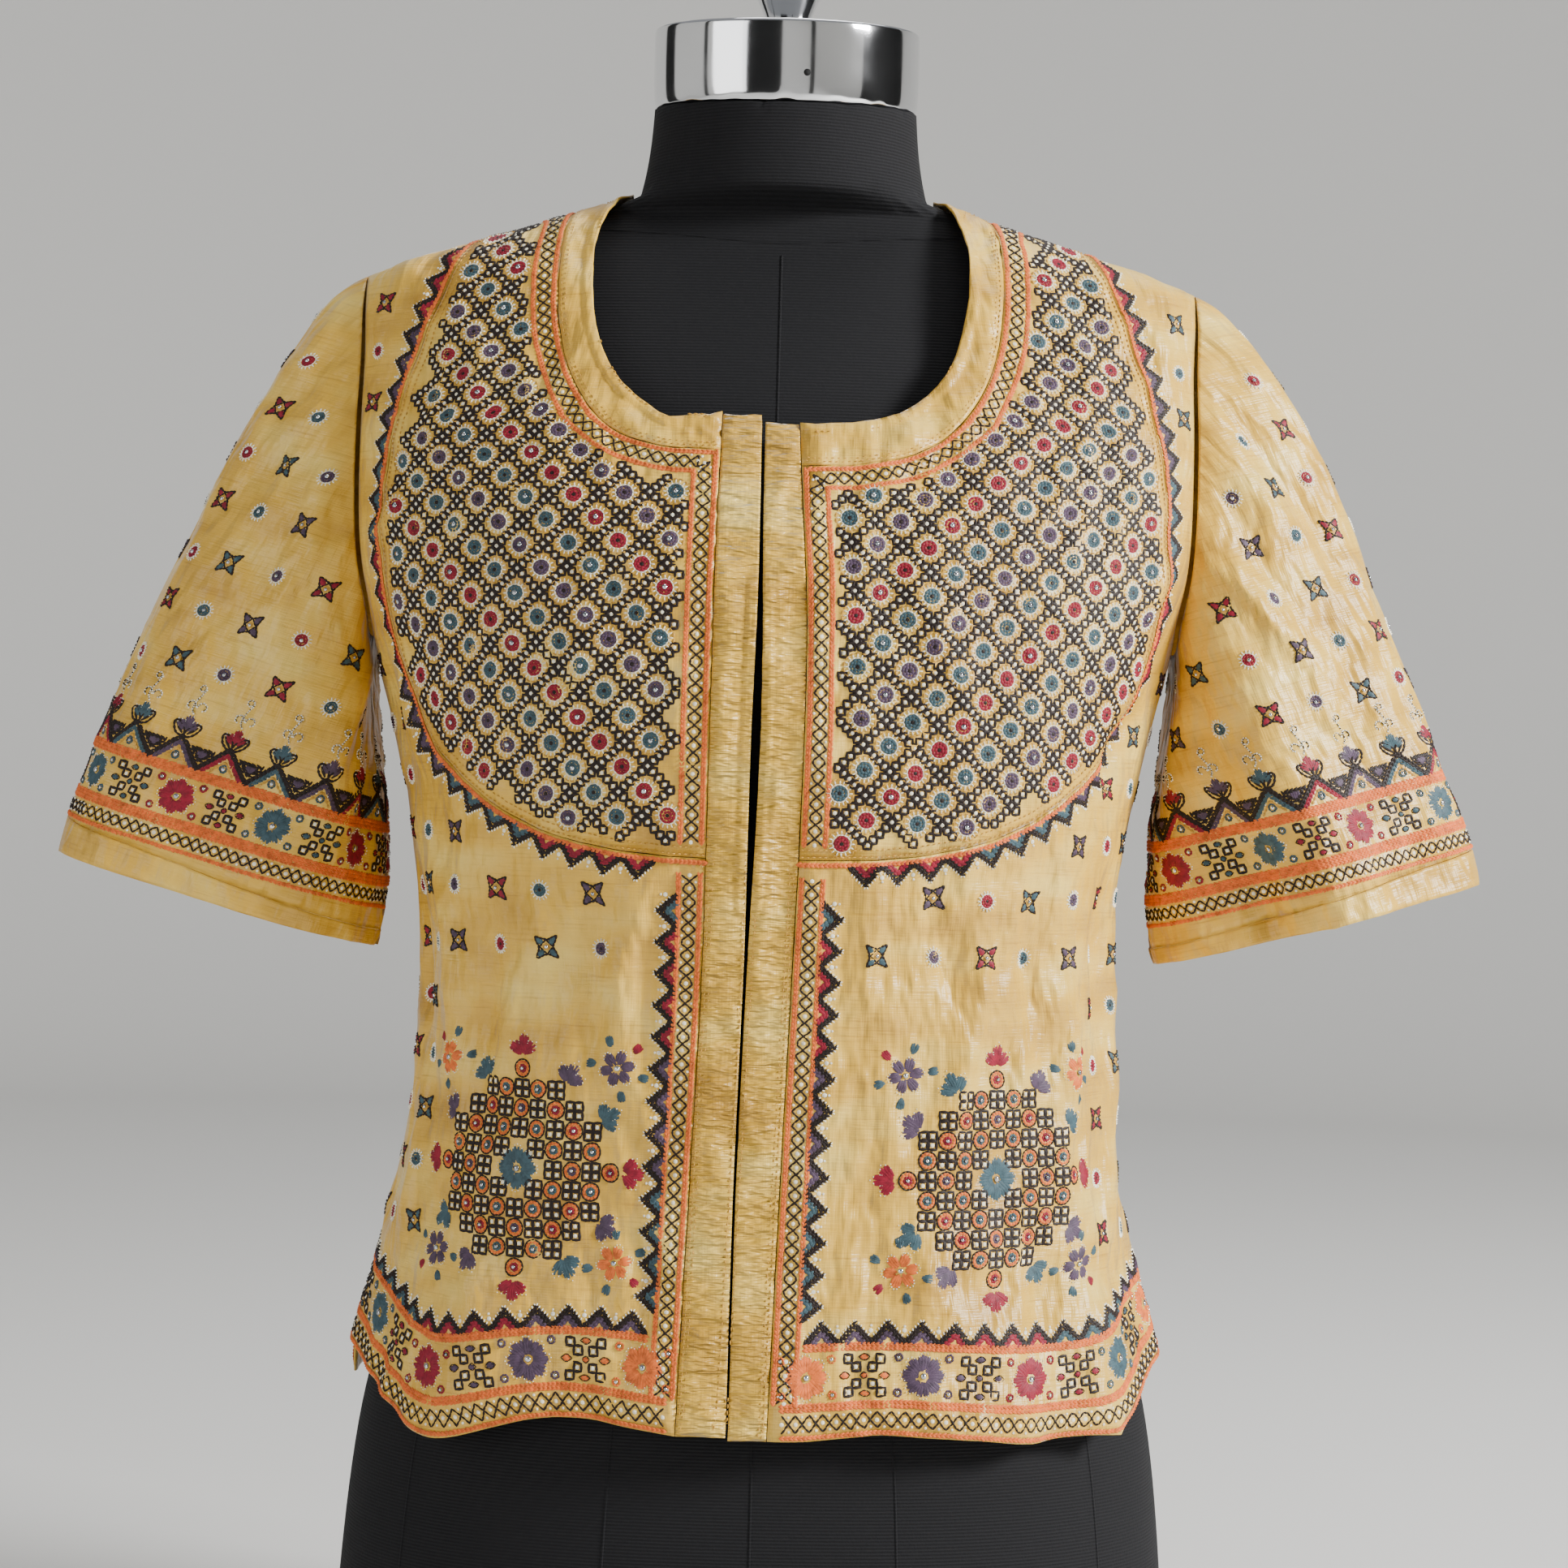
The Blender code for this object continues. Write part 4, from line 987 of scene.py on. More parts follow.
def mirror_glass(thread):
    """Small hand-cut silvered glass: bright, a little cloudy with age."""
    material, tree, shader = new_material("silvered_mirror_glass", Metallic=1.0, Roughness=0.12)
    if tree is None:
        return material
    cloud = speckle(tree, 300.0, 2.0)
    tone = ramp(tree, cloud, ((0.3, linear("#8E949A")), (0.6, linear("#E6EAEC"))))
    tree.links.new(tone, shader.inputs["Base Color"])
    return material


THREADS = ("brown", "orange", "crimson", "teal", "plum", "cream", "gold")
THREAD_LOOKS = {**{thread: silk_floss for thread in THREADS}, "mirror": mirror_glass}

# Motifs, each in its own millimetres about its own centre


def disc(needle, centre, thread, size=1.0, heart=None):
    """A double coloured ring with a dark or mirrored heart and a sunburst of cream stitches."""
    for radius, count in ((1.45, 7), (2.55, 11)):
        ring = set_at(circle(radius, count), centre, 0, size)
        needle.run(thread, ring, 1.45 * MM * size, math.tau * radius / count * MM * size, 1.35)
    if heart == "mirror":
        needle.lay("mirror", [centre], 0.0, 2.0 * MM * size, 2.0 * MM * size, 0.8 * MM)
    else:
        needle.dots("brown", [centre], 1.7 * MM * size)
    needle.run("cream", set_at(circle(3.35, 14), centre, 0, size), 0.62 * MM, 1.5 * MM * size)
    angles = np.arange(16) * math.tau / 16
    spokes = headings(angles)
    needle.lay("cream", centre + spokes * 4.2 * MM * size, angles, 1.6 * MM * size, 0.62 * MM)


def square(needle, centre, turn=0.0, side=3.2, heart="cream"):
    """A small dark square with a cream knot in it."""
    half = side / 2
    corners = np.array([(-half, -half), (half, -half), (half, half), (-half, half), (-half, -half)])
    needle.run("brown", set_at(corners, centre, turn), 1.4 * MM, side * MM, 1.35)
    if heart:
        needle.dots(heart, [centre], 0.56 * side * MM)


def star(needle, centre, thread, turn=0.0, size=1.0):
    """A four-pointed star with hollow sides, its points on the diagonals, and a pale heart."""
    waist, tip = 2.9, 7.0
    angles = turn + np.arange(8) * math.pi / 4
    reach = np.where(np.arange(8) % 2, tip, waist)
    ring = reach[:, None] * headings(angles)
    needle.run("brown", set_at([*ring, ring[0]], centre, 0, size), 1.15 * MM, 1.7 * MM * size, 1.35)
    inner = set_at([*ring[::2], ring[0]], centre, 0, size)
    needle.run("brown", inner, 0.8 * MM, 2.0 * MM * size, 1.2)
    for angle in angles[1::2]:
        way = heading(angle)
        needle.lay(thread, [centre + way * 3.9 * MM * size], angle, 4.6 * MM * size, 3.1 * MM * size)
    needle.lay("gold", [centre], turn, 3.4 * MM * size, 3.4 * MM * size, 0.35 * MM)
    needle.lay("mirror", [centre], 0.0, 1.7 * MM * size, 1.7 * MM * size, 0.8 * MM)


def petal(needle, foot, turn, length, width, thread):
    """A petal of side-by-side stitches, from its foot outwards."""
    way = heading(turn)
    across = np.array([-way[1], way[0]])
    for side, share in ((-0.62, 0.78), (-0.22, 1.0), (0.22, 1.0), (0.62, 0.78)):
        middle = foot + way * length * (0.5 + 0.06 * (1 - share)) + across * side * width / 2
        needle.lay(thread, [middle], turn + side * 0.22, length * share, width * 0.40)


def flower(needle, centre, thread, turn=0.0, size=1.0, petals=8):
    """A round flower of equal petals, edged with cream knots, with a mirrored heart."""
    length, width = 6.9 * MM * size, 4.7 * MM * size
    for k in range(petals):
        angle = turn + k * math.tau / petals
        way = heading(angle)
        petal(needle, centre + way * 1.3 * MM * size, angle, length, width, thread)
        tip = circle(1.9, 9, angle)[[0, 1, 2, 7, 8]]
        needle.dots("cream", set_at(tip, centre + way * 6.6 * MM * size, 0, size), 0.62 * MM)
    needle.lay("mirror", [centre], 0.0, 2.5 * MM * size, 2.5 * MM * size, 0.75 * MM)


# Knots round a lobe's edge: the share of its length, and how far to the side in millimetres
LOBE_EDGE = ((0.62, 1.75), (0.92, 1.1), (1.08, 0.0), (0.92, -1.1), (0.62, -1.75))


def trefoil(needle, foot, thread, turn=math.pi / 2, size=1.0):
    """A three-lobed leaf on its foot, edged with cream knots."""
    for lean, length in ((0.0, 7.4), (0.85, 6.2), (-0.85, 6.2)):
        angle = turn + lean
        petal(needle, foot, angle, length * MM * size, 4.0 * MM * size, thread)
        edge = [(length * share, side) for share, side in LOBE_EDGE]
        needle.dots("cream", set_at(edge, foot, angle, size), 0.6 * MM)


def sprig(needle, foot, turn=math.pi / 2, size=1.0):
    """A beaded sprig: a stem that ends in a curl, with a smaller curl on each side."""
    t = np.linspace(0, 1, 24)
    stem = np.column_stack([10.5 * t - 0.8 * np.sin(t * 5), 1.5 * np.sin(t * 4.2)])
    turn_of = t * 5.6 - 2.6
    curl = np.column_stack([11.5 + 1.4 * np.cos(turn_of), 0.6 + 1.5 * np.sin(turn_of)])
    wings = []
    for side in (-1, 1):
        angle, reach = t * 4.4, 2.6 - 1.5 * t
        along = 3.0 + reach * np.sin(angle) * 1.1
        wings.append(np.column_stack([along, side * (2.9 - reach * np.cos(angle))]))
    for line in (stem, curl, *wings):
        line = set_at(line, foot, turn, size)
        needle.run("brown", line, 0.4 * MM, 2.0 * MM)
        needle.dots("cream", stops_along(line, 1.15 * MM)[0], 0.95 * MM)


def lattice(needle, line, half, pitch=5.7 * MM):
    """A chain lattice: two crossing dark zigzags with cream knots between them."""
    stops, turns, _ = stops_along(line, pitch)
    across = lefts(turns)
    flips = np.where(np.arange(len(stops)) % 2 == 0, 1.0, -1.0)[:, None]
    for sign in (1, -1):
        needle.run("brown", stops + sign * flips * across * half, 1.0 * MM, 2.3 * MM, 1.3)
    needle.dots("cream", stops, 1.9 * MM)
    middles = (stops[1:] + stops[:-1]) / 2
    for sign in (1, -1):
        needle.dots("cream", middles + sign * 0.8 * half * across[1:], 1.2 * MM)


def zigzag(needle, line, side, pitch=13.6 * MM, height=7.6 * MM, first=0):
    """A dark zigzag on a line, lined in runs of one colour, with cream picots and knots outside."""
    stops, turns, _ = stops_along(line, pitch / 2)
    if len(stops) % 2 == 0:
        stops, turns = stops[:-1], turns[:-1]
    across = side * lefts(turns)
    for k in range(1, len(stops) - 1, 2):
        thread = BRIGHT[(first + k // 8) % 3]
        out = across[k]
        peak = np.array([stops[k - 1], stops[k] + out * height, stops[k + 1]])
        for back, colour, width in ((0.2, "brown", 1.6), (1.9, "brown", 1.6), (4.0, thread, 2.4)):
            line = peak + (stops[k] - peak) * back * MM / height
            needle.chain(colour, line, width * MM, 2.0 * MM)
        fringe = peak + out * 1.5 * MM
        places, ways, _ = stops_along(fringe, 1.6 * MM)
        facing = math.atan2(out[1], out[0])
        lean = np.where(np.arange(len(places)) < len(places) / 2, 0.5, -0.5) * side
        needle.lay("cream", places[1:-1], facing + lean[1:-1], 1.5 * MM, 0.7 * MM)
        needle.dots("cream", [stops[k + 1] + out * 4.4 * MM], 2.0 * MM)
        needle.dots("cream", [stops[k + 1] + out * 6.2 * MM], 1.1 * MM)


def flower_band(needle, low, high, threads, pitch=48.0 * MM):
    """Flowers and cross-shaped blocks in turn between two lines."""
    middle = (low + high) / 2
    gap = np.linalg.norm(high - low, axis=1).mean()
    size = gap / (19.0 * MM)
    stops, turns, _ = stops_along(middle, pitch / 2)
    for k, (place, turn) in enumerate(zip(stops, turns)):
        thread = threads[(k // 2) % len(threads)]
        if k % 2 == 0:
            flower(needle, place, thread, turn, size)
            for x, y in ((-1, -1), (1, -1), (-1, 1), (1, 1)):
                spot = set_at((9.4 * x, 6.4 * y), place, turn, size)[0]
                needle.run(thread, set_at(circle(1.5, 7), spot, 0, size), 1.1 * MM, 1.3 * MM, 1.2)
                needle.lay("mirror", [spot], 0.0, 1.6 * MM, 1.6 * MM, 0.5 * MM)
        else:
            block(needle, place, thread, turn, size)


# Corners of a square block, and its wedges' places, widths and heights in millimetres
CORNERS = ((1, 1), (-1, 1), (1, -1), (-1, -1))
WEDGES = (
    (0, 0, 2.6, 2.6), (0, 6.6, 3.4, 2.6), (0, -6.6, 3.4, 2.6), (7.4, 0, 3.4, 3.0),
    (-7.4, 0, 3.4, 3.0),
)


def block(needle, centre, thread, turn, size):
    """A cross of small dark squares with coloured wedges between its arms."""
    for x, y in ((x * far, y * far) for x, y in CORNERS for far in (3.0, 6.0)):
        square(needle, set_at((x, y), centre, turn, size)[0], turn, 3.1 * size)
    for x, y, wide, tall in WEDGES:
        spot = set_at((x, y), centre, turn, size)[0]
        ring = np.array([(-1, 0), (0, -1), (1, 0), (0, 1), (-1, 0)]) * (wide / 2, tall / 2)
        needle.run("brown", set_at(ring * 1.25, spot, turn, size), 0.6 * MM, 2.0 * MM)
        needle.lay(thread, [spot], turn, wide * MM * size, tall * 0.8 * MM * size)


# Creases of each stretch of cloth: where they start and end on the flat map, how wide they are
# and how high, in millimetres; troughs are below 0
CREASES = {
    "front": (
        (-52, 395, -58, 322, 7, 1.5), (-78, 392, -70, 300, 8, -1.7), (-96, 380, -108, 310, 7, 1.3),
        (-128, 372, -120, 268, 10, -2.2), (-150, 400, -142, 300, 9, 1.9), (-168, 330, -178, 215, 11, 2.2),
        (-192, 400, -170, 250, 12, -2.4), (-214, 360, -214, 210, 11, 2.0), (-60, 255, -40, 205, 8, -1.2),
        (48, 398, 44, 330, 6, 1.4), (70, 390, 82, 318, 8, -1.6), (92, 372, 84, 262, 9, 1.7),
        (112, 392, 128, 300, 9, -2.2), (140, 372, 136, 250, 10, 2.1), (162, 400, 176, 300, 10, -2.2),
        (186, 380, 184, 225, 11, 2.3), (212, 395, 206, 250, 10, -1.8), (62, 250, 88, 196, 8, 1.2),
        (-190, 470, -150, 430, 9, 1.8), (-196, 520, -160, 560, 8, 1.3), (188, 468, 150, 432, 9, -1.8),
        (200, 540, 168, 500, 9, 1.6), (-100, 452, -60, 500, 10, 0.9), (90, 448, 62, 510, 10, 0.9),
        (-130, 640, -150, 560, 8, 0.9), (128, 650, 152, 570, 8, 0.9),
    ),
    "back": (
        (-160, 400, -150, 240, 11, 2.2), (-120, 440, -128, 300, 10, -2.0), (-84, 400, -70, 230, 12, 2.3),
        (-40, 460, -46, 290, 10, -1.8), (0, 420, 8, 220, 12, 2.2), (44, 450, 38, 280, 10, -1.9),
        (82, 410, 90, 240, 12, 2.1), (124, 430, 118, 300, 10, -2.0), (164, 390, 150, 230, 11, 2.2),
        (-150, 560, -90, 600, 9, 1.0), (140, 560, 96, 604, 9, 1.0), (-20, 560, 30, 540, 12, 1.2),
    ),
    "sleeve_right": (
        (64, 268, 78, 110, 12, 2.6), (96, 240, 104, 96, 10, -2.6), (128, 200, 132, 70, 9, 2.2),
        (30, 280, 38, 150, 12, -1.8), (-24, 276, -18, 120, 13, 2.0), (-70, 260, -62, 120, 12, -2.2),
        (-112, 220, -110, 90, 12, 2.2), (150, 150, 90, 205, 7, 1.8), (156, 128, 100, 172, 6, -1.6),
        (52, 230, 20, 190, 8, 1.2),
    ),
    "sleeve_left": (
        (148, 156, 84, 232, 8, 2.4), (150, 138, 92, 186, 7, -2.4), (152, 122, 104, 148, 7, 2.0),
        (66, 272, 52, 150, 11, 2.2), (36, 262, 30, 120, 10, -2.4), (92, 200, 66, 84, 10, 2.4),
        (4, 270, 10, 140, 12, 1.8), (-30, 280, -24, 130, 12, -1.8), (-78, 250, -70, 100, 13, 2.2),
        (-118, 200, -112, 80, 12, -2.2), (60, 246, 96, 262, 6, 1.4),
    ),
}
STEEP = 1.8
CRUMPLE, CRUMPLE_ALONG, CRUMPLE_UP = 0.8 * MM, 19 * MM, 34 * MM
PUCKER, PUCKER_ALONG, PUCKER_ACROSS = 0.55 * MM, 5.5 * MM, 22 * MM
NECK_CENTRE = (0.0, 0.600)
BINDING, BINDING_RISE, GROOVE = 4.5 * MM, 0.55 * MM, 0.35 * MM


def crease_height(stretch, flat):
    """How far the creases of a stretch of cloth lift it at flat places."""
    height = np.array(
        [noise.noise((u / CRUMPLE_ALONG, v / CRUMPLE_UP, len(stretch))) for u, v in flat]
    )
    height = CRUMPLE * (1 - 2 * abs(height))
    for u0, v0, u1, v1, width, rise in CREASES[stretch]:
        start, way = np.array([u0, v0]) * MM, np.array([u1 - u0, v1 - v0]) * MM
        length = np.linalg.norm(way)
        way = way / length
        along = (flat - start) @ way / length
        across = (flat - start) @ np.array([-way[1], way[0]]) / (width * MM)
        across = across + 0.35 * np.sin(along * 5.0 + u0)
        across = np.where(across * rise > 0, STEEP * across, across)
        fade = np.sin(math.pi * np.clip(along, 0, 1)) ** 0.8
        height += rise * MM * fade * np.exp(-(across**2))
    return height * settings("cloth").crease


def seam_depth(node, points):
    """How far a panel's edge sinks into its seams, and how its bound edge stands up."""
    rim = rim_of(node)
    away = reach_of(loop_points(rim), points)
    depth = -SEAM_DIP * np.exp(-((away / SEAM_FADE) ** 2))
    if node.startswith(("placket", "neck_band")):
        free = loop_points(longest_run(rim, free_edge(node, rim)))
        away = reach_of(free, points)
        depth += BINDING_RISE * np.clip((BINDING - away) / MM, 0, 1)
        depth -= GROOVE * np.exp(-(((away - BINDING - 0.6 * MM) / (0.8 * MM)) ** 2))
        depth += puckers(node, points)
    return depth


def puckers(node, points):
    """How far the sewing gathers a plain band into small folds across it."""
    if node.startswith("placket"):
        along, across = points[:, 2], points[:, 0]
    else:
        x, z = points[:, 0] - NECK_CENTRE[0], points[:, 2] - NECK_CENTRE[1]
        across = np.hypot(x, z)
        along = np.arctan2(x, z) * across.mean()
    rise = [
        noise.noise((a / PUCKER_ALONG, b / PUCKER_ACROSS, 7.0)) for a, b in zip(along, across)
    ]
    return PUCKER * (1 - 2.4 * abs(np.array(rise)))


class CHOLI_OT_cloth(bpy.types.Operator):
    """Makes the silk panels, their creases and their seams"""

    bl_idname = "choli.cloth"
    bl_label = "Silk Panels"

    def execute(self, context):
        nodes = [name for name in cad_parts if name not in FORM_NODES]
        silk = raw_silk()
        puckered = raw_silk("raw_silk_puckered_by_its_seams", (14.0, 3.4))
        for node in nodes:
            mesh = smoothed(outer_wall(node), f"{node}_silk", 3 if node in FINE_NODES else 2)
            look = puckered if node.startswith("placket") else silk
            CLOTH[node] = dressed(f"{node}_silk", mesh, look)
            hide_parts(node)
        make_maps()
        for node, piece in CLOTH.items():
            self.move(piece.data, self.creases(node, points_of(piece.data)))
        make_maps()
        sunk = {node: seam_depth(node, points_of(piece.data)) for node, piece in CLOTH.items()}
        for node, piece in CLOTH.items():
            ways = np.empty(len(sunk[node]) * 3)
            piece.data.vertex_normals.foreach_get("vector", ways)
            self.move(piece.data, sunk[node][:, None] * ways.reshape(-1, 3))
            self.finish_panel(node, piece)
        return {"FINISHED"}

    def creases(self, node, points):
        """How far, and in which direction, the creases move a panel's points."""
        cloth = map_of(node)
        stretch = next(name for name, other in MAPS.items() if other is cloth)
        flat = cloth.flat(points)
        height = crease_height(stretch, flat) * self.freedom(cloth, points)
        return cloth.worn(flat, height) - cloth.worn(flat)

    def freedom(self, cloth, points):
        """How freely points crease: not at all where they are sewn to another stretch."""
        rims = [rim for node in CLOTH if map_of(node) is not cloth for rim in rims_of(node)]
        away = reach_of(near_tree(np.concatenate(rims)), points)
        return 1 - np.exp(-((away / SEWN_FADE) ** 2))

    def move(self, mesh, ways):
        """Moves a panel's points."""
        points = points_of(mesh) + ways
        mesh.vertices.foreach_set("co", points.ravel())
        mesh.update()

    def finish_panel(self, node, piece):
        """Lays the panel's weave on it, gives it its thickness and states its cut."""
        mesh = piece.data
        flat = map_of(node).flat(points_of(mesh))
        layer = mesh.uv_layers.new(name="cut")
        corners = np.empty(len(mesh.loops), int)
        mesh.loops.foreach_get("vertex_index", corners)
        layer.data.foreach_set("uv", flat[corners].ravel())
        wall = piece.modifiers.new("Thickness", "SOLIDIFY")
        wall.thickness = settings("cloth").thickness
        wall.offset = -1.0
        wall.use_even_offset = True


# Where the borders, the trellis and the scattered motifs lie, in metres from a seam or an edge
LINE_IN, LATTICE_MID, LINE_OUT = 1.7 * MM, 6.1 * MM, 10.6 * MM
TEETH_FOOT = 11.6 * MM
YOKE_LINE, YOKE_TEETH = 1.7 * MM, 2.8 * MM
YOKE_GAP = 6.5 * MM
CHECK = 24.0 * MM
TRELLIS_A, TRELLIS_B = (9.9 * MM, -10.0 * MM), (-11.5 * MM, -11.0 * MM)
TRELLIS_COUNT = np.arange(-30, 31)
TRELLIS_COLOURS = ("teal", "plum", "crimson", "teal", "plum", "teal", "crimson")
BAND_TOPSTITCH, YOKE_TOPSTITCH = (1.4 * MM, 3.0 * MM, 16.5 * MM), (1.6 * MM, 4.6 * MM)
CLEAR_PLACKET, CLEAR_YOKE, CLEAR_NECK, CLEAR_HEM = 26 * MM, 17 * MM, 20 * MM, 53 * MM
CLEAR_FRONT_EDGE, CLEAR_BACK_EDGE = 8 * MM, 9 * MM

# The bands over the hem's and the sleeves' edges, in millimetres up from the edge
HEM_LINES = (1.4, 12.6, 14.3, 36.6, 38.3)
HEM_LATTICE, HEM_FLOWERS, HEM_TEETH = 7.0, (15.0, 36.0), 39.4
CUFF_LINES = (17.2, 26.6, 28.1, 29.6, 49.5, 51.0, 52.5)
CUFF_LATTICE, CUFF_FLOWERS, CUFF_CROWN = 21.9, (30.5, 48.7), 53.4

# The pitch of the sleeves' peaks; the medallion's cells, flowers, middle and half size
CROWN_PITCH = 22.5 * MM
CELL, CORNER_FLOWERS = 8.2 * MM, (43 * MM, 43 * MM)
CORNER_PLACE, CORNER_HALF = (0.103, 0.267), (62 * MM, 70 * MM)


def hem_line(node, neighbours):
    """A panel's free lower edge, laid flat and read outwards."""
    loop = rim_of(node)
    free = loop[:, 2] < HEM_TOP
    for neighbour in neighbours:
        free &= gaps_between(loop, neighbour) > SEAM_REACH
    line = map_of(node).flat(longest_run(loop, free))
    return line if abs(line[-1, 0]) > abs(line[0, 0]) else line[::-1]


def raised(line, up, side):
    """A hem's line moved up the cloth by millimetres, smoother the further it goes."""
    return offset(fair(line, passes=3 + int(up * 6)), side * up * MM)


def between_stops(line, start=0.0, end=0.0):
    """A line shortened by so many metres at its start and end."""
    runs = runs_of(line)
    stops = np.arange(start, runs[-1] - end, LINE_STEP)
    return places_at(line, runs, stops)


def border(needle, seams, side):
    """Two chain-stitched lines beside one or two seams, with a lattice between them."""

    def beside(away):
        """The line so far beside the seams, mitred where there are two."""
        lines = [offset(line, side * away) for line in seams]
        return mitred(*lines) if len(lines) > 1 else lines[0]

    for away in (LINE_IN, LINE_OUT):
        needle.chain("orange", beside(away))
    lattice(needle, beside(LATTICE_MID), 3.2 * MM)


def check_motifs(needle, region, lead=0):
    """Stars and discs by turns on a square grid, wherever a region has room."""
    u, v = np.meshgrid(np.arange(-20, 21) * CHECK, np.arange(0, 32) * CHECK)
    turns = (np.arange(-20, 21)[None] + np.arange(0, 32)[:, None] + lead) % 2
    places = np.column_stack([u.ravel(), v.ravel()])
    for index in np.nonzero(region(places))[0]:
        place = places[index] + needle.random.normal(size=2) * 0.6 * MM
        thread = BRIGHT[(index * 7 + index // 41) % 3]
        if turns.ravel()[index]:
            star(needle, place, thread, needle.random.normal() * 0.05)
        else:
            disc(needle, place, thread, 0.92, "mirror" if index % 2 else None)


class CHOLI_OT_borders(bpy.types.Operator):
    """Sews the chain-stitched borders along the opening, the neck and the breast panels"""

    bl_idname = "choli.borders"
    bl_label = "Borders"

    def execute(self, context):
        for name, side in SIDES:
            needle = Needlework("front", 11 + side)
            yoke, front = f"yoke_{name}", f"front_{name}"
            breast, neck = seam(yoke, f"placket_{name}"), seam(yoke, f"neck_band_{name}")
            lower, round_yoke = seam(front, f"placket_{name}"), seam(front, yoke)
            breast = between_stops(breast, YOKE_GAP)
            border(needle, (breast, neck), -side)
            lower = between_stops(lower, (HEM_LINES[2] + 1.5) * MM, YOKE_GAP)
            border(needle, (lower,), -side)
            teeth = between_stops(offset(lower, -side * TEETH_FOOT), 33 * MM, 8 * MM)
            zigzag(needle, teeth, -side, first=1)
            needle.chain("orange", offset(round_yoke, -side * YOKE_LINE))
            teeth = between_stops(offset(round_yoke, -side * YOKE_TEETH), 21 * MM, 3 * MM)
            zigzag(needle, teeth, -side)
            for away in YOKE_TOPSTITCH:
                needle.run("gold", offset(round_yoke, side * away), 0.6 * MM, 2.4 * MM, 0.75)
            for band in (f"placket_{name}", f"neck_band_{name}"):
                self.topstitch(needle, band, side)
            needle.sewn(f"border_{name}")
        return {"FINISHED"}

    def topstitch(self, needle, band, side):
        """Two rows of small stitches beside a plain band's seam, and one by its other edge."""
        line = seam(band, band.replace("placket", "front").replace("neck_band", "yoke"))
        for away in BAND_TOPSTITCH:
            needle.run("gold", offset(line, side * away), 0.55 * MM, 2.6 * MM, 0.75)


class CHOLI_OT_trellis(bpy.types.Operator):
    """Sews the trellis of discs and small squares on the breast panels"""

    bl_idname = "choli.trellis"
    bl_label = "Breast Panels"

    def execute(self, context):
        for name, side in SIDES:
            needle = Needlework("front", 23 + side)
            yoke = f"yoke_{name}"
            shape = outline(yoke)
            inner = np.concatenate([seam(yoke, f"placket_{name}"), seam(yoke, f"neck_band_{name}")])
            outer = seam(yoke, f"front_{name}")
            towards = np.array([-side, 1.0])
            a, b = towards * TRELLIS_A, towards * TRELLIS_B
            start = np.array([side * 0.030, 0.700])

            i, j = (table.ravel() for table in np.meshgrid(TRELLIS_COUNT, TRELLIS_COUNT))
            discs = start + i[:, None] * a + j[:, None] * b
            squares = [discs + a / 2 + share * b for share in (-0.30, -0.10, 0.10, 0.30, 0.5)]
            squares += [discs + b / 2 + share * a for share in (-0.27, 0.0, 0.27)]

            def room(places, inner_gap, outer_gap):
                """The places on the panel that lie so many millimetres from its edges."""
                near = places[inside(shape, places)]
                far = gap_to(inner, near) > inner_gap * MM
                return near[far & (gap_to(outer, near) > outer_gap * MM)]

            for place in room(discs, 14.5, 7.0):
                k = int(np.argmin(np.linalg.norm(discs - place, axis=1)))
                thread = TRELLIS_COLOURS[j[k] % len(TRELLIS_COLOURS)]
                heart = "mirror" if (i[k] + 2 * j[k]) % 3 == 0 else None
                disc(needle, place, thread, 1.12, heart)
                needle.run("gold", set_at(circle(6.0, 13), place), 0.9 * MM, 2.6 * MM, 0.9)
            for place in room(np.concatenate(squares), 13.2, 5.4):
                square(needle, place)
            needle.sewn(f"trellis_{name}")
        return {"FINISHED"}


def hem_bands(needle, hem, side, threads, start):
    """The bands along a hem, from its edge upwards."""
    for k, up in enumerate(HEM_LINES):
        line = between_stops(raised(hem, up, side), 0.0 if up < HEM_LINES[3] else start)
        needle.chain("orange", line, 1.5 * MM)
    lattice(needle, raised(hem, HEM_LATTICE, side), 3.6 * MM)
    low, high = (between_stops(raised(hem, up, side), start) for up in HEM_FLOWERS)
    count = min(len(low), len(high))
    flower_band(needle, low[:count], high[:count], threads)
    teeth = between_stops(raised(hem, HEM_TEETH, side), start)
    zigzag(needle, teeth, side, first=2)


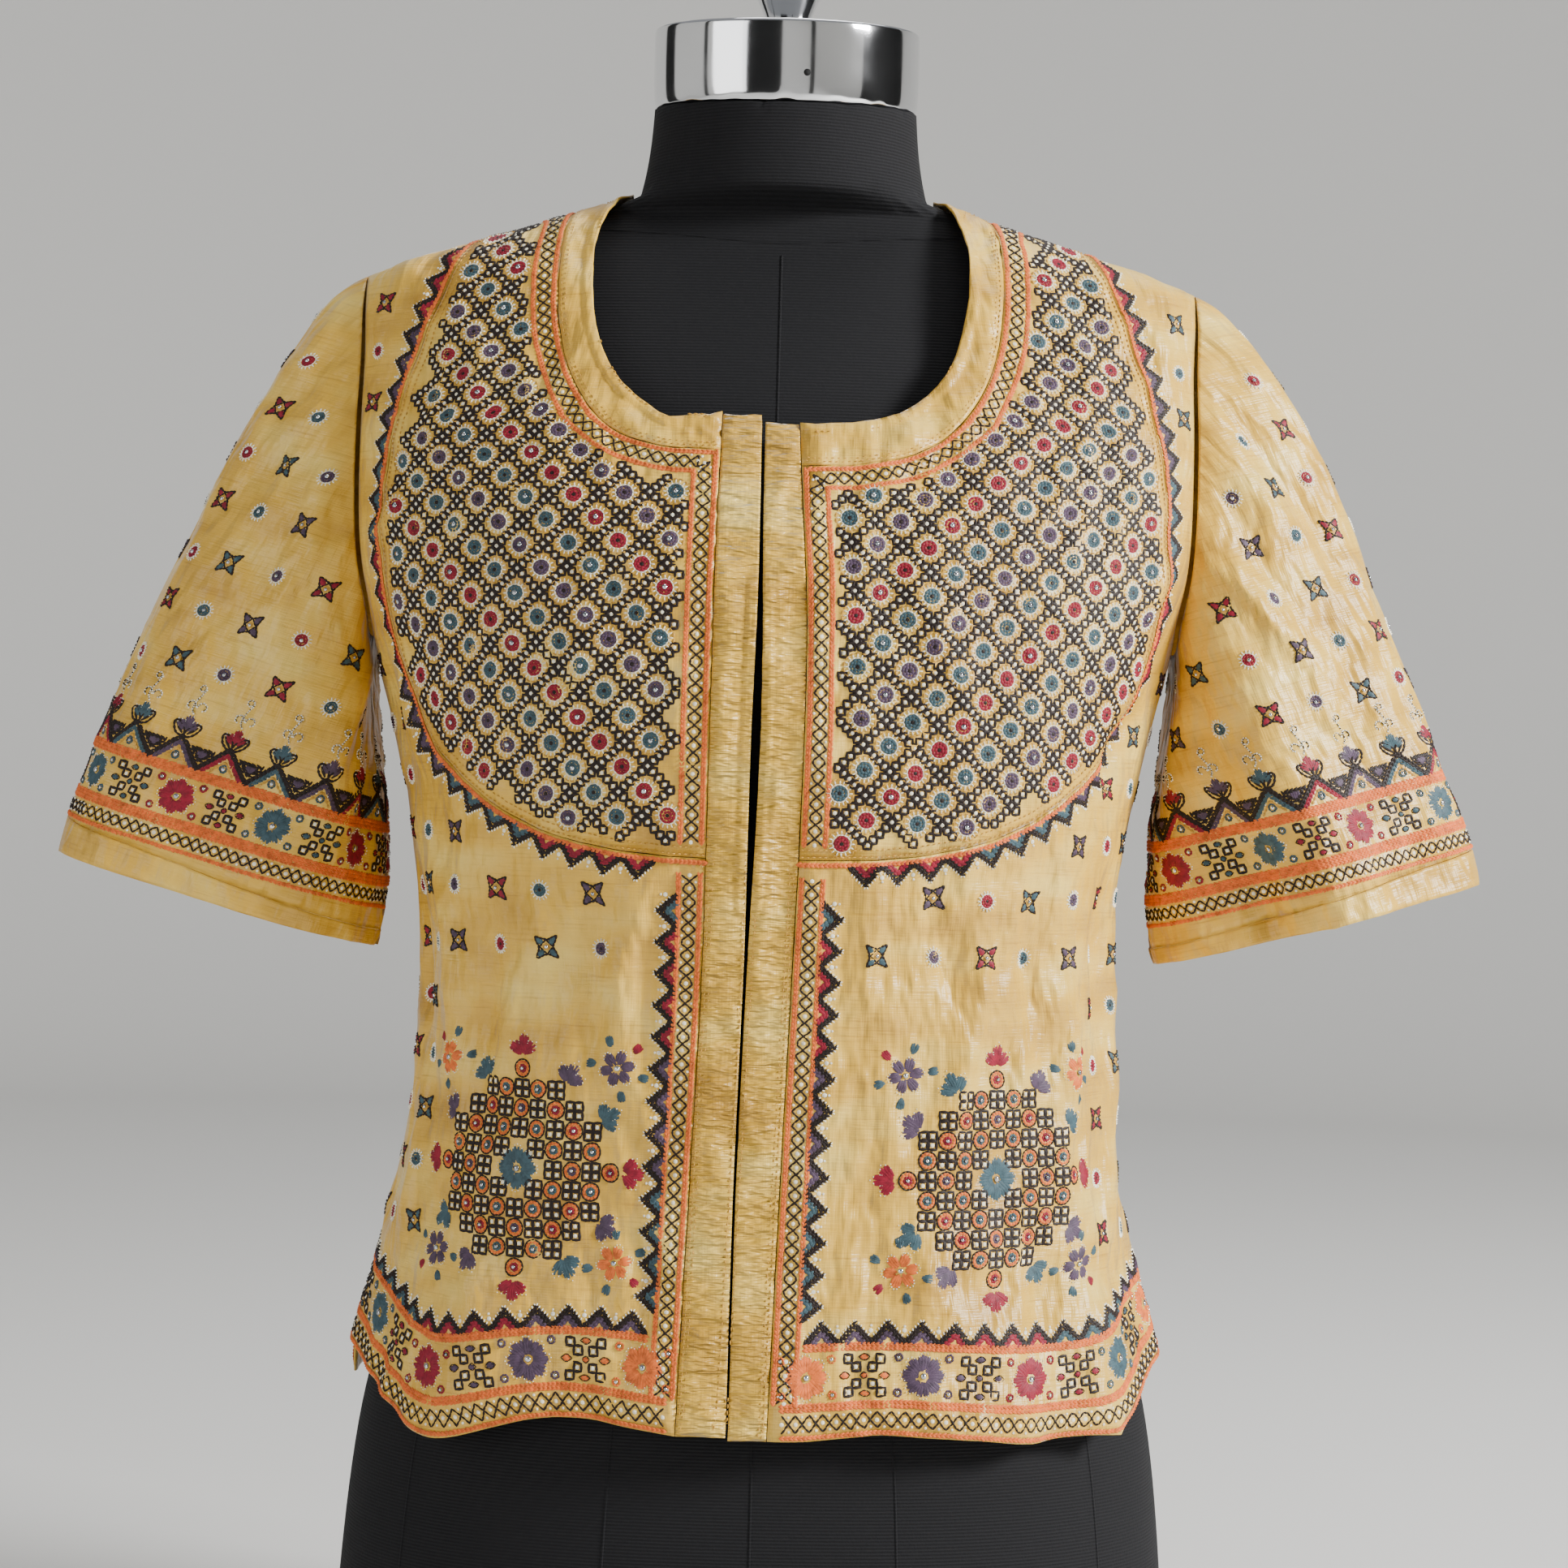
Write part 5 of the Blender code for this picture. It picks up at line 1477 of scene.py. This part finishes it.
class CHOLI_OT_fronts(bpy.types.Operator):
    """Sews the hem bands, the corner pieces and the scattered motifs of the fronts"""

    bl_idname = "choli.fronts"
    bl_label = "Lower Fronts"

    def execute(self, context):
        for name, side in SIDES:
            needle = Needlework("front", 31 + side)
            front = f"front_{name}"
            hem = hem_line(front, (f"placket_{name}", "back"))
            hem_bands(needle, hem, side, ("orange", "plum", "crimson", "teal"), LINE_OUT)
            shape = outline(front)
            centre = np.array([side * CORNER_PLACE[0], CORNER_PLACE[1]])
            placket, yoke = seam(front, f"placket_{name}"), seam(front, f"yoke_{name}")

            def region(place):
                """Which places are free of the borders and the medallion."""
                away = abs(place - centre) / CORNER_HALF
                return (
                    inside(shape, place)
                    & (away.max(axis=1) > 1.0)
                    & (gap_to(placket, place) > CLEAR_PLACKET)
                    & (gap_to(yoke, place) > CLEAR_YOKE)
                    & (gap_to(hem, place) > CLEAR_HEM)
                    & (gap_to(shape, place) > CLEAR_FRONT_EDGE)
                )

            check_motifs(needle, region)
            self.corner_piece(needle, centre, side)
            needle.sewn(f"front_{name}")
        return {"FINISHED"}

    def corner_piece(self, needle, centre, side):
        """A stepped medallion of discs and squares round a flower, with leaves at its edge."""
        for i in range(-5, 6):
            for j in range(-5, 6):
                reach = abs(i) + abs(j)
                if reach < 2 or reach > 6 or max(abs(i), abs(j)) == 5 and reach > 5:
                    continue
                place = centre + np.array([i, j]) * CELL
                if (i + j) % 2:
                    heart = BRIGHT[(i * i + j * j) // 4 % 3] if reach in (3, 5) else "orange"
                    self.ringed(needle, place, heart)
                else:
                    for x, y in ((-1.9, -1.9), (1.9, -1.9), (-1.9, 1.9), (1.9, 1.9)):
                        square(needle, set_at((x, y), place)[0], 0.0, 3.3)
        flower(needle, centre, "teal", 0.0, 1.15)
        for k in range(12):
            angle = k * math.tau / 12
            cosine, sine = math.cos(angle), math.sin(angle)
            reach = (7.0 if k % 3 else 5.7) * CELL / (abs(cosine) + abs(sine))
            foot = centre + np.array([cosine, sine]) * reach
            trefoil(needle, foot, BRIGHT[k % 3], angle, 1.25)
        for x, y in ((-1, 1), (1, 1), (-1, -0.86), (1, -0.86)):
            place = centre + np.array([x * side, y]) * CORNER_FLOWERS
            flower(needle, place, "orange" if x * y > 0 else "plum", 0.2, 0.95, 6)
            for lean in (-2.2, -1.1, 0.0, 1.1, 2.2):
                angle = math.atan2(y, x * side) + lean
                foot = place + heading(angle) * 9.0 * MM
                petal(needle, foot, angle, 5.4 * MM, 3.6 * MM, "teal" if lean else "crimson")

    def ringed(self, needle, place, heart):
        """A small double ring of orange chain, outlined in brown, round a mirror."""
        needle.run(heart, set_at(circle(1.5, 7), place), 1.5 * MM, 1.4 * MM, 1.3)
        needle.run("orange", set_at(circle(2.8, 12), place), 1.5 * MM, 1.5 * MM, 1.3)
        needle.run("brown", set_at(circle(3.8, 14), place), 0.9 * MM, 1.7 * MM, 1.3)
        needle.lay("mirror", [place], 0.0, 1.7 * MM, 1.7 * MM, 0.9 * MM)


class CHOLI_OT_back(bpy.types.Operator):
    """Sews the hem bands, the neck border and the scattered motifs of the back"""

    bl_idname = "choli.back"
    bl_label = "Back"

    def execute(self, context):
        needle = Needlework("back", 41)
        hem = hem_line("back", ("front_left", "front_right"))
        side = 1 if MAPS["back"].turned_up(hem) else -1
        hem_bands(needle, hem, side, ("orange", "plum", "crimson", "teal"), 0.0)
        neck = seam("back", "neck_band_back")
        shape = outline("back")
        into = self.into(shape, neck)
        border(needle, (neck,), into)

        def region(place):
            """Which places are free of the borders."""
            return (
                inside(shape, place)
                & (gap_to(neck, place) > CLEAR_NECK)
                & (gap_to(hem, place) > CLEAR_HEM)
                & (gap_to(shape, place) > CLEAR_BACK_EDGE)
            )

        check_motifs(needle, region)
        needle.sewn("back")
        return {"FINISHED"}

    def into(self, shape, neck):
        """Which side of the neck's line the cloth lies on."""
        middle = len(neck) // 2
        tested = offset(neck, 3 * MM)[middle : middle + 1]
        return 1 if inside(shape, tested)[0] else -1


class CHOLI_OT_sleeves(bpy.types.Operator):
    """Sews the bands and the scattered motifs of the sleeves"""

    bl_idname = "choli.sleeves"
    bl_label = "Sleeves"

    def execute(self, context):
        for name, side in SIDES:
            needle = Needlework(f"sleeve_{name}", 53 + side)
            cloth = needle.cloth
            self.bands(needle, cloth)
            around = circle(9.0, 12) * MM

            def region(place):
                """Which places lie above the bands, with cloth all round them."""
                near = [cloth.on_cloth(place + away) for away in around]
                return (place[:, 1] > 95 * MM) & np.all(near, axis=0)

            check_motifs(needle, region, 1)
            needle.sewn(f"sleeve_{name}")
        return {"FINISHED"}

    def level(self, cloth, up):
        """A line round the sleeve, so many millimetres above its edge."""
        half = float(cloth.half_at(up * MM))
        across = np.arange(-half, half, LINE_STEP)
        return np.column_stack([across, np.full(len(across), up * MM)])

    def bands(self, needle, cloth):
        """The lines, the lattice, the flowers and the crowned peaks above a sleeve's end."""
        for up in CUFF_LINES:
            needle.chain("orange", self.level(cloth, up), 1.4 * MM)
        lattice(needle, self.level(cloth, CUFF_LATTICE), 3.0 * MM, 4.7 * MM)
        low, high = (self.level(cloth, up) for up in CUFF_FLOWERS)
        count = min(len(low), len(high))
        flower_band(needle, low[:count], high[:count], ("crimson", "teal"), 44 * MM)
        foot = self.level(cloth, CUFF_CROWN)
        stops, _, pitch = stops_along(foot, CROWN_PITCH)
        for k, place in enumerate(stops[:-1]):
            self.crown(needle, place + np.array([pitch / 2, 0.0]), pitch, BRIGHT[k % 3])

    def crown(self, needle, foot, pitch, thread):
        """A filled peak with a ringed mirror, two leaves, a trefoil and a beaded sprig."""
        half = pitch / 2 / MM
        peak = np.array([(-half, 0.0), (0.0, 12.0), (half, 0.0)])
        needle.chain("brown", set_at(peak, foot), 2.1 * MM)
        needle.chain(thread, set_at(peak * 0.76 + (0, 0.4), foot), 1.8 * MM)
        needle.run("gold", set_at(peak * 0.48 + (0, 0.6), foot), 1.3 * MM, 2.0 * MM, 1.2)
        spot = set_at((0.0, 3.3), foot)[0]
        needle.run("teal", set_at(circle(1.7, 8), spot), 1.1 * MM, 1.3 * MM, 1.2)
        needle.lay("mirror", [spot], 0.0, 2.0 * MM, 2.0 * MM, 0.5 * MM)
        knots = [(-4.6, 1.4), (4.6, 1.4), (-2.6, 5.2), (2.6, 5.2)]
        needle.dots("cream", set_at(knots, foot), 0.8 * MM)
        valley = np.array([(-4.6, 8.4), (0.0, 3.4), (4.6, 8.4), (-4.6, 8.4)]) + (half, 0.0)
        needle.chain("brown", set_at(valley, foot), 1.5 * MM)
        petal(needle, set_at((half, 4.4), foot)[0], math.pi / 2, 4.4 * MM, 4.6 * MM, "plum")
        for turn in (0.72, -0.72):
            angle = math.pi / 2 + turn
            start = set_at((0.0, 11.5), foot)[0]
            way = heading(angle)
            edge = circle(1.0, 10)[:, ::-1] * (4.4, 2.0)
            middle = start + way * 4.6 * MM
            needle.run("brown", set_at(edge, middle, angle), 1.3 * MM, 2.0 * MM, 1.3)
            needle.lay("brown", [middle], angle, 7.0 * MM, 1.5 * MM)
        trefoil(needle, set_at((0.0, 14.5), foot)[0], thread, math.pi / 2, 0.98)
        sprig(needle, set_at((0.0, 22.5), foot)[0])


class CHOLI_OT_form(bpy.types.Operator):
    """Makes the dress form's jersey-covered torso"""

    bl_idname = "choli.form"
    bl_label = "Dress Form"

    def execute(self, context):
        work = node_copy("form_torso")
        join_up(work, 30, 60)
        crease = work.edges.layers.float.new("crease_edge")
        for edge in work.edges:
            if edge.calc_face_angle(0.0) > math.radians(50):
                edge[crease] = 0.85
        jersey = smoothed(work, "torso_jersey", 2)
        torso = dressed("torso_jersey", jersey, black_jersey())
        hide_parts("form_torso")
        self.seams(torso)
        return {"FINISHED"}

    def seams(self, torso):
        """The cover's seams: one round the foot of the neck and several down the body."""
        tree = tree_of(torso.data)
        around = []
        for k in range(121):
            turn = math.tau * k / 120
            height = NECK_SEAM_HEIGHT - NECK_SEAM_DIP * math.cos(turn)
            around.append(self.on_form(tree, turn, height))
        lines = [around]
        for degrees in COVER_SEAMS:
            turn = math.radians(degrees)
            top = NECK_SEAM_HEIGHT - UNDER_NECK if degrees in (0, 180) else SEAM_TOP
            heights = np.linspace(SEAM_FOOT, top, 90)
            lines.append([self.on_form(tree, turn, height) for height in heights])
        cords = bpy.data.curves.new("cover_seams", "CURVE")
        cords.dimensions = "3D"
        cords.bevel_depth = WELT
        cords.bevel_resolution = 1
        for line in lines:
            spline = cords.splines.new("POLY")
            spline.points.add(len(line) - 1)
            for point, place in zip(spline.points, line):
                point.co = (*place, 1.0)
        holder = bpy.data.objects.new("cover_seams", cords)
        mesh = bpy.data.meshes.new_from_object(holder)
        bpy.data.objects.remove(holder)
        dressed("cover_seams", mesh, torso.data.materials[0])

    def on_form(self, tree, turn, height):
        """A point just under the form's surface at a turn from the front and a height."""
        way = Vector((math.sin(turn), -math.cos(turn), 0.0))
        place, _, _, _ = tree.ray_cast(Vector((0.0, 0.0, height)), way)
        return place - way * WELT * 0.45


class CHOLI_OT_metal(bpy.types.Operator):
    """Makes the chrome cap and the finial"""

    bl_idname = "choli.metal"
    bl_label = "Cap and Finial"

    def execute(self, context):
        chrome = chrome_plate()
        for node in ("neck_cap", "finial"):
            work = node_copy(node)
            join_up(work, 8, 60)
            part = dressed(f"{node}_chrome", smoothed(work, node, 2), chrome)
            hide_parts(node)
            if node == "neck_cap":
                self.peg_hole(part.data)
        return {"FINISHED"}

    def peg_hole(self, cap):
        """The small round hole near the cap's lower edge, seen as its dark inside."""
        low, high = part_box("neck_cap")
        start = Vector(((low[0] + high[0]) / 2 + HOLE_SIDE, low[1] - HOLE, low[2] + HOLE_UP))
        place, normal, _, _ = tree_of(cap).ray_cast(start, Vector((0.0, 1.0, 0.0)))
        work = bmesh.new()
        bmesh.ops.create_cone(
            work, cap_ends=True, segments=24, radius1=HOLE, radius2=HOLE, depth=HOLE
        )
        turned = normal.to_track_quat("Z", "Y").to_matrix()
        bmesh.ops.rotate(work, verts=work.verts, cent=(0, 0, 0), matrix=turned)
        bmesh.ops.translate(work, verts=work.verts, vec=place - normal * (HOLE / 2 - HOLE_PROUD))
        # The hole is a black disc of painted shade: no light comes back out of the cap, so its inside
        # looks black
        dark = plain_finish("dark_inside_of_the_cap", HOLE_BLACK, 0.9)
        dressed("peg_hole", mesh_from(work, "peg_hole"), dark)


class CHOLI_OT_stage(bpy.types.Operator):
    """Makes the floor, the lights and the camera"""

    bl_idname = "choli.stage"
    bl_label = "Stage"

    def execute(self, context):
        stage = settings("stage")
        self.sweep(stage)
        self.flags()
        self.lights(stage)
        self.camera()
        return {"FINISHED"}

    def sweep(self, stage):
        """A round pale floor whose rim curves up into a wall."""
        profile = [(0.0, 0.0), (FLOOR_REACH, 0.0)]
        for k in range(1, 9):
            angle = math.pi / 2 * k / 8
            across = FLOOR_REACH + BEND * math.sin(angle)
            profile.append((across, BEND * (1 - math.cos(angle))))
        profile.append((FLOOR_REACH + BEND, WALL_HEIGHT))
        work = bmesh.new()
        line = [work.verts.new((across, 0.0, up)) for across, up in profile]
        edges = [work.edges.new(pair) for pair in zip(line, line[1:])]
        bmesh.ops.spin(
            work, geom=line + edges, cent=(0, 0, 0), axis=(0, 0, 1), angle=math.tau, steps=SWEEP,
            use_merge=True,
        )
        bmesh.ops.remove_doubles(work, verts=work.verts, dist=WELD)
        bmesh.ops.recalc_face_normals(work, faces=work.faces)
        if work.faces[0].normal.z < 0:
            bmesh.ops.reverse_faces(work, faces=work.faces)
        # Matt paper throws soft, even light back and shows no gloss
        paper = plain_finish("matt_backdrop_paper", stage.floor[:], 0.9)
        self.staged("studio_floor", work, paper).data.shade_smooth()

    def staged(self, name, work, material):
        """A piece of the studio from a bmesh."""
        piece = placed(name, mesh_from(work, name))
        piece.data.materials.append(material)
        return piece

    def flags(self):
        """Black cards round the studio, which only show as dark bands in polished metal."""
        # Black card sends no light back, so chrome mirrors it as a sharp dark band
        card = plain_finish("black_flag_card", FLAG_BLACK, 1.0)
        for k, (start, end) in enumerate(FLAGS):
            middle, half = math.radians((start + end) / 2), math.radians((end - start) / 2)
            work = bmesh.new()
            bmesh.ops.create_cube(work, size=1.0)
            size = (2 * FLAG_REACH * math.tan(half), 0.01, FLAG_HEIGHT)
            bmesh.ops.scale(work, verts=work.verts, vec=size)
            bmesh.ops.translate(work, verts=work.verts, vec=(0, -FLAG_REACH, FLAG_HEIGHT / 2))
            bmesh.ops.rotate(
                work, verts=work.verts, cent=(0, 0, 0), matrix=Matrix.Rotation(middle, 3, "Z")
            )
            flag = self.staged(f"flag_{k}", work, card)
            flag.visible_camera = flag.visible_diffuse = flag.visible_shadow = False

    def lights(self, stage):
        """A window from the upper right, a fill from the left, one from above and a pale sky."""
        for name, power, size, place in LIGHTS:
            data = bpy.data.lights.new(name, "AREA")
            data.energy = getattr(stage, power)
            data.size = size
            lamp = placed(name, data)
            lamp.location = place
            aim = Vector(AIM) - Vector(place)
            lamp.rotation_euler = aim.to_track_quat("-Z", "Y").to_euler()
        world = bpy.data.worlds.new("studio_air")
        world.use_nodes = True
        air = world.node_tree.nodes["Background"]
        air.inputs["Color"].default_value = SKY
        air.inputs["Strength"].default_value = SKY_STRENGTH
        bpy.context.scene.world = world

    def camera(self):
        """A level camera, turned a little as in the photograph."""
        data = bpy.data.cameras.new("camera")
        data.sensor_width = SENSOR
        data.lens = SENSOR * -EYE[1] / FRAME_WIDTH
        camera = placed("camera", data)
        camera.location = EYE
        camera.rotation_euler = (math.pi / 2, ROLL, 0.0)
        bpy.context.scene.camera = camera


class CHOLI_PT_panel(bpy.types.Panel):
    """The blouse's steps and settings"""

    bl_idname = "CHOLI_PT_panel"
    bl_label = "Choli Blouse"
    bl_space_type = "VIEW_3D"
    bl_region_type = "UI"
    bl_category = "Choli"

    def draw(self, context):
        for name, group in SETTINGS.items():
            box = self.layout.box()
            for field in group.__annotations__:
                box.prop(getattr(context.scene, name), field)
        for step in STEPS:
            self.layout.operator(step.bl_idname)


STEPS = (
    CHOLI_OT_stage, CHOLI_OT_cloth, CHOLI_OT_borders, CHOLI_OT_trellis, CHOLI_OT_fronts,
    CHOLI_OT_sleeves, CHOLI_OT_back, CHOLI_OT_form, CHOLI_OT_metal,
)


def register():
    """Makes the settings, the steps and the panel known to Blender."""
    for group in SETTINGS.values():
        bpy.utils.register_class(group)
    for step in (*STEPS, CHOLI_PT_panel):
        bpy.utils.register_class(step)
    for name, group in SETTINGS.items():
        setattr(bpy.types.Scene, name, PointerProperty(type=group))


def unregister():
    """Takes them away again."""
    for name in SETTINGS:
        delattr(bpy.types.Scene, name)
    for step in (CHOLI_PT_panel, *reversed(STEPS)):
        bpy.utils.unregister_class(step)
    for group in reversed(list(SETTINGS.values())):
        bpy.utils.unregister_class(group)


def main():
    """Builds the blouse, its form and its stage."""
    register()
    bpy.ops.choli.stage()
    bpy.ops.choli.cloth()
    bpy.ops.choli.borders()
    bpy.ops.choli.trellis()
    bpy.ops.choli.fronts()
    bpy.ops.choli.sleeves()
    bpy.ops.choli.back()
    bpy.ops.choli.form()
    bpy.ops.choli.metal()


if __name__ == "__main__":
    main()
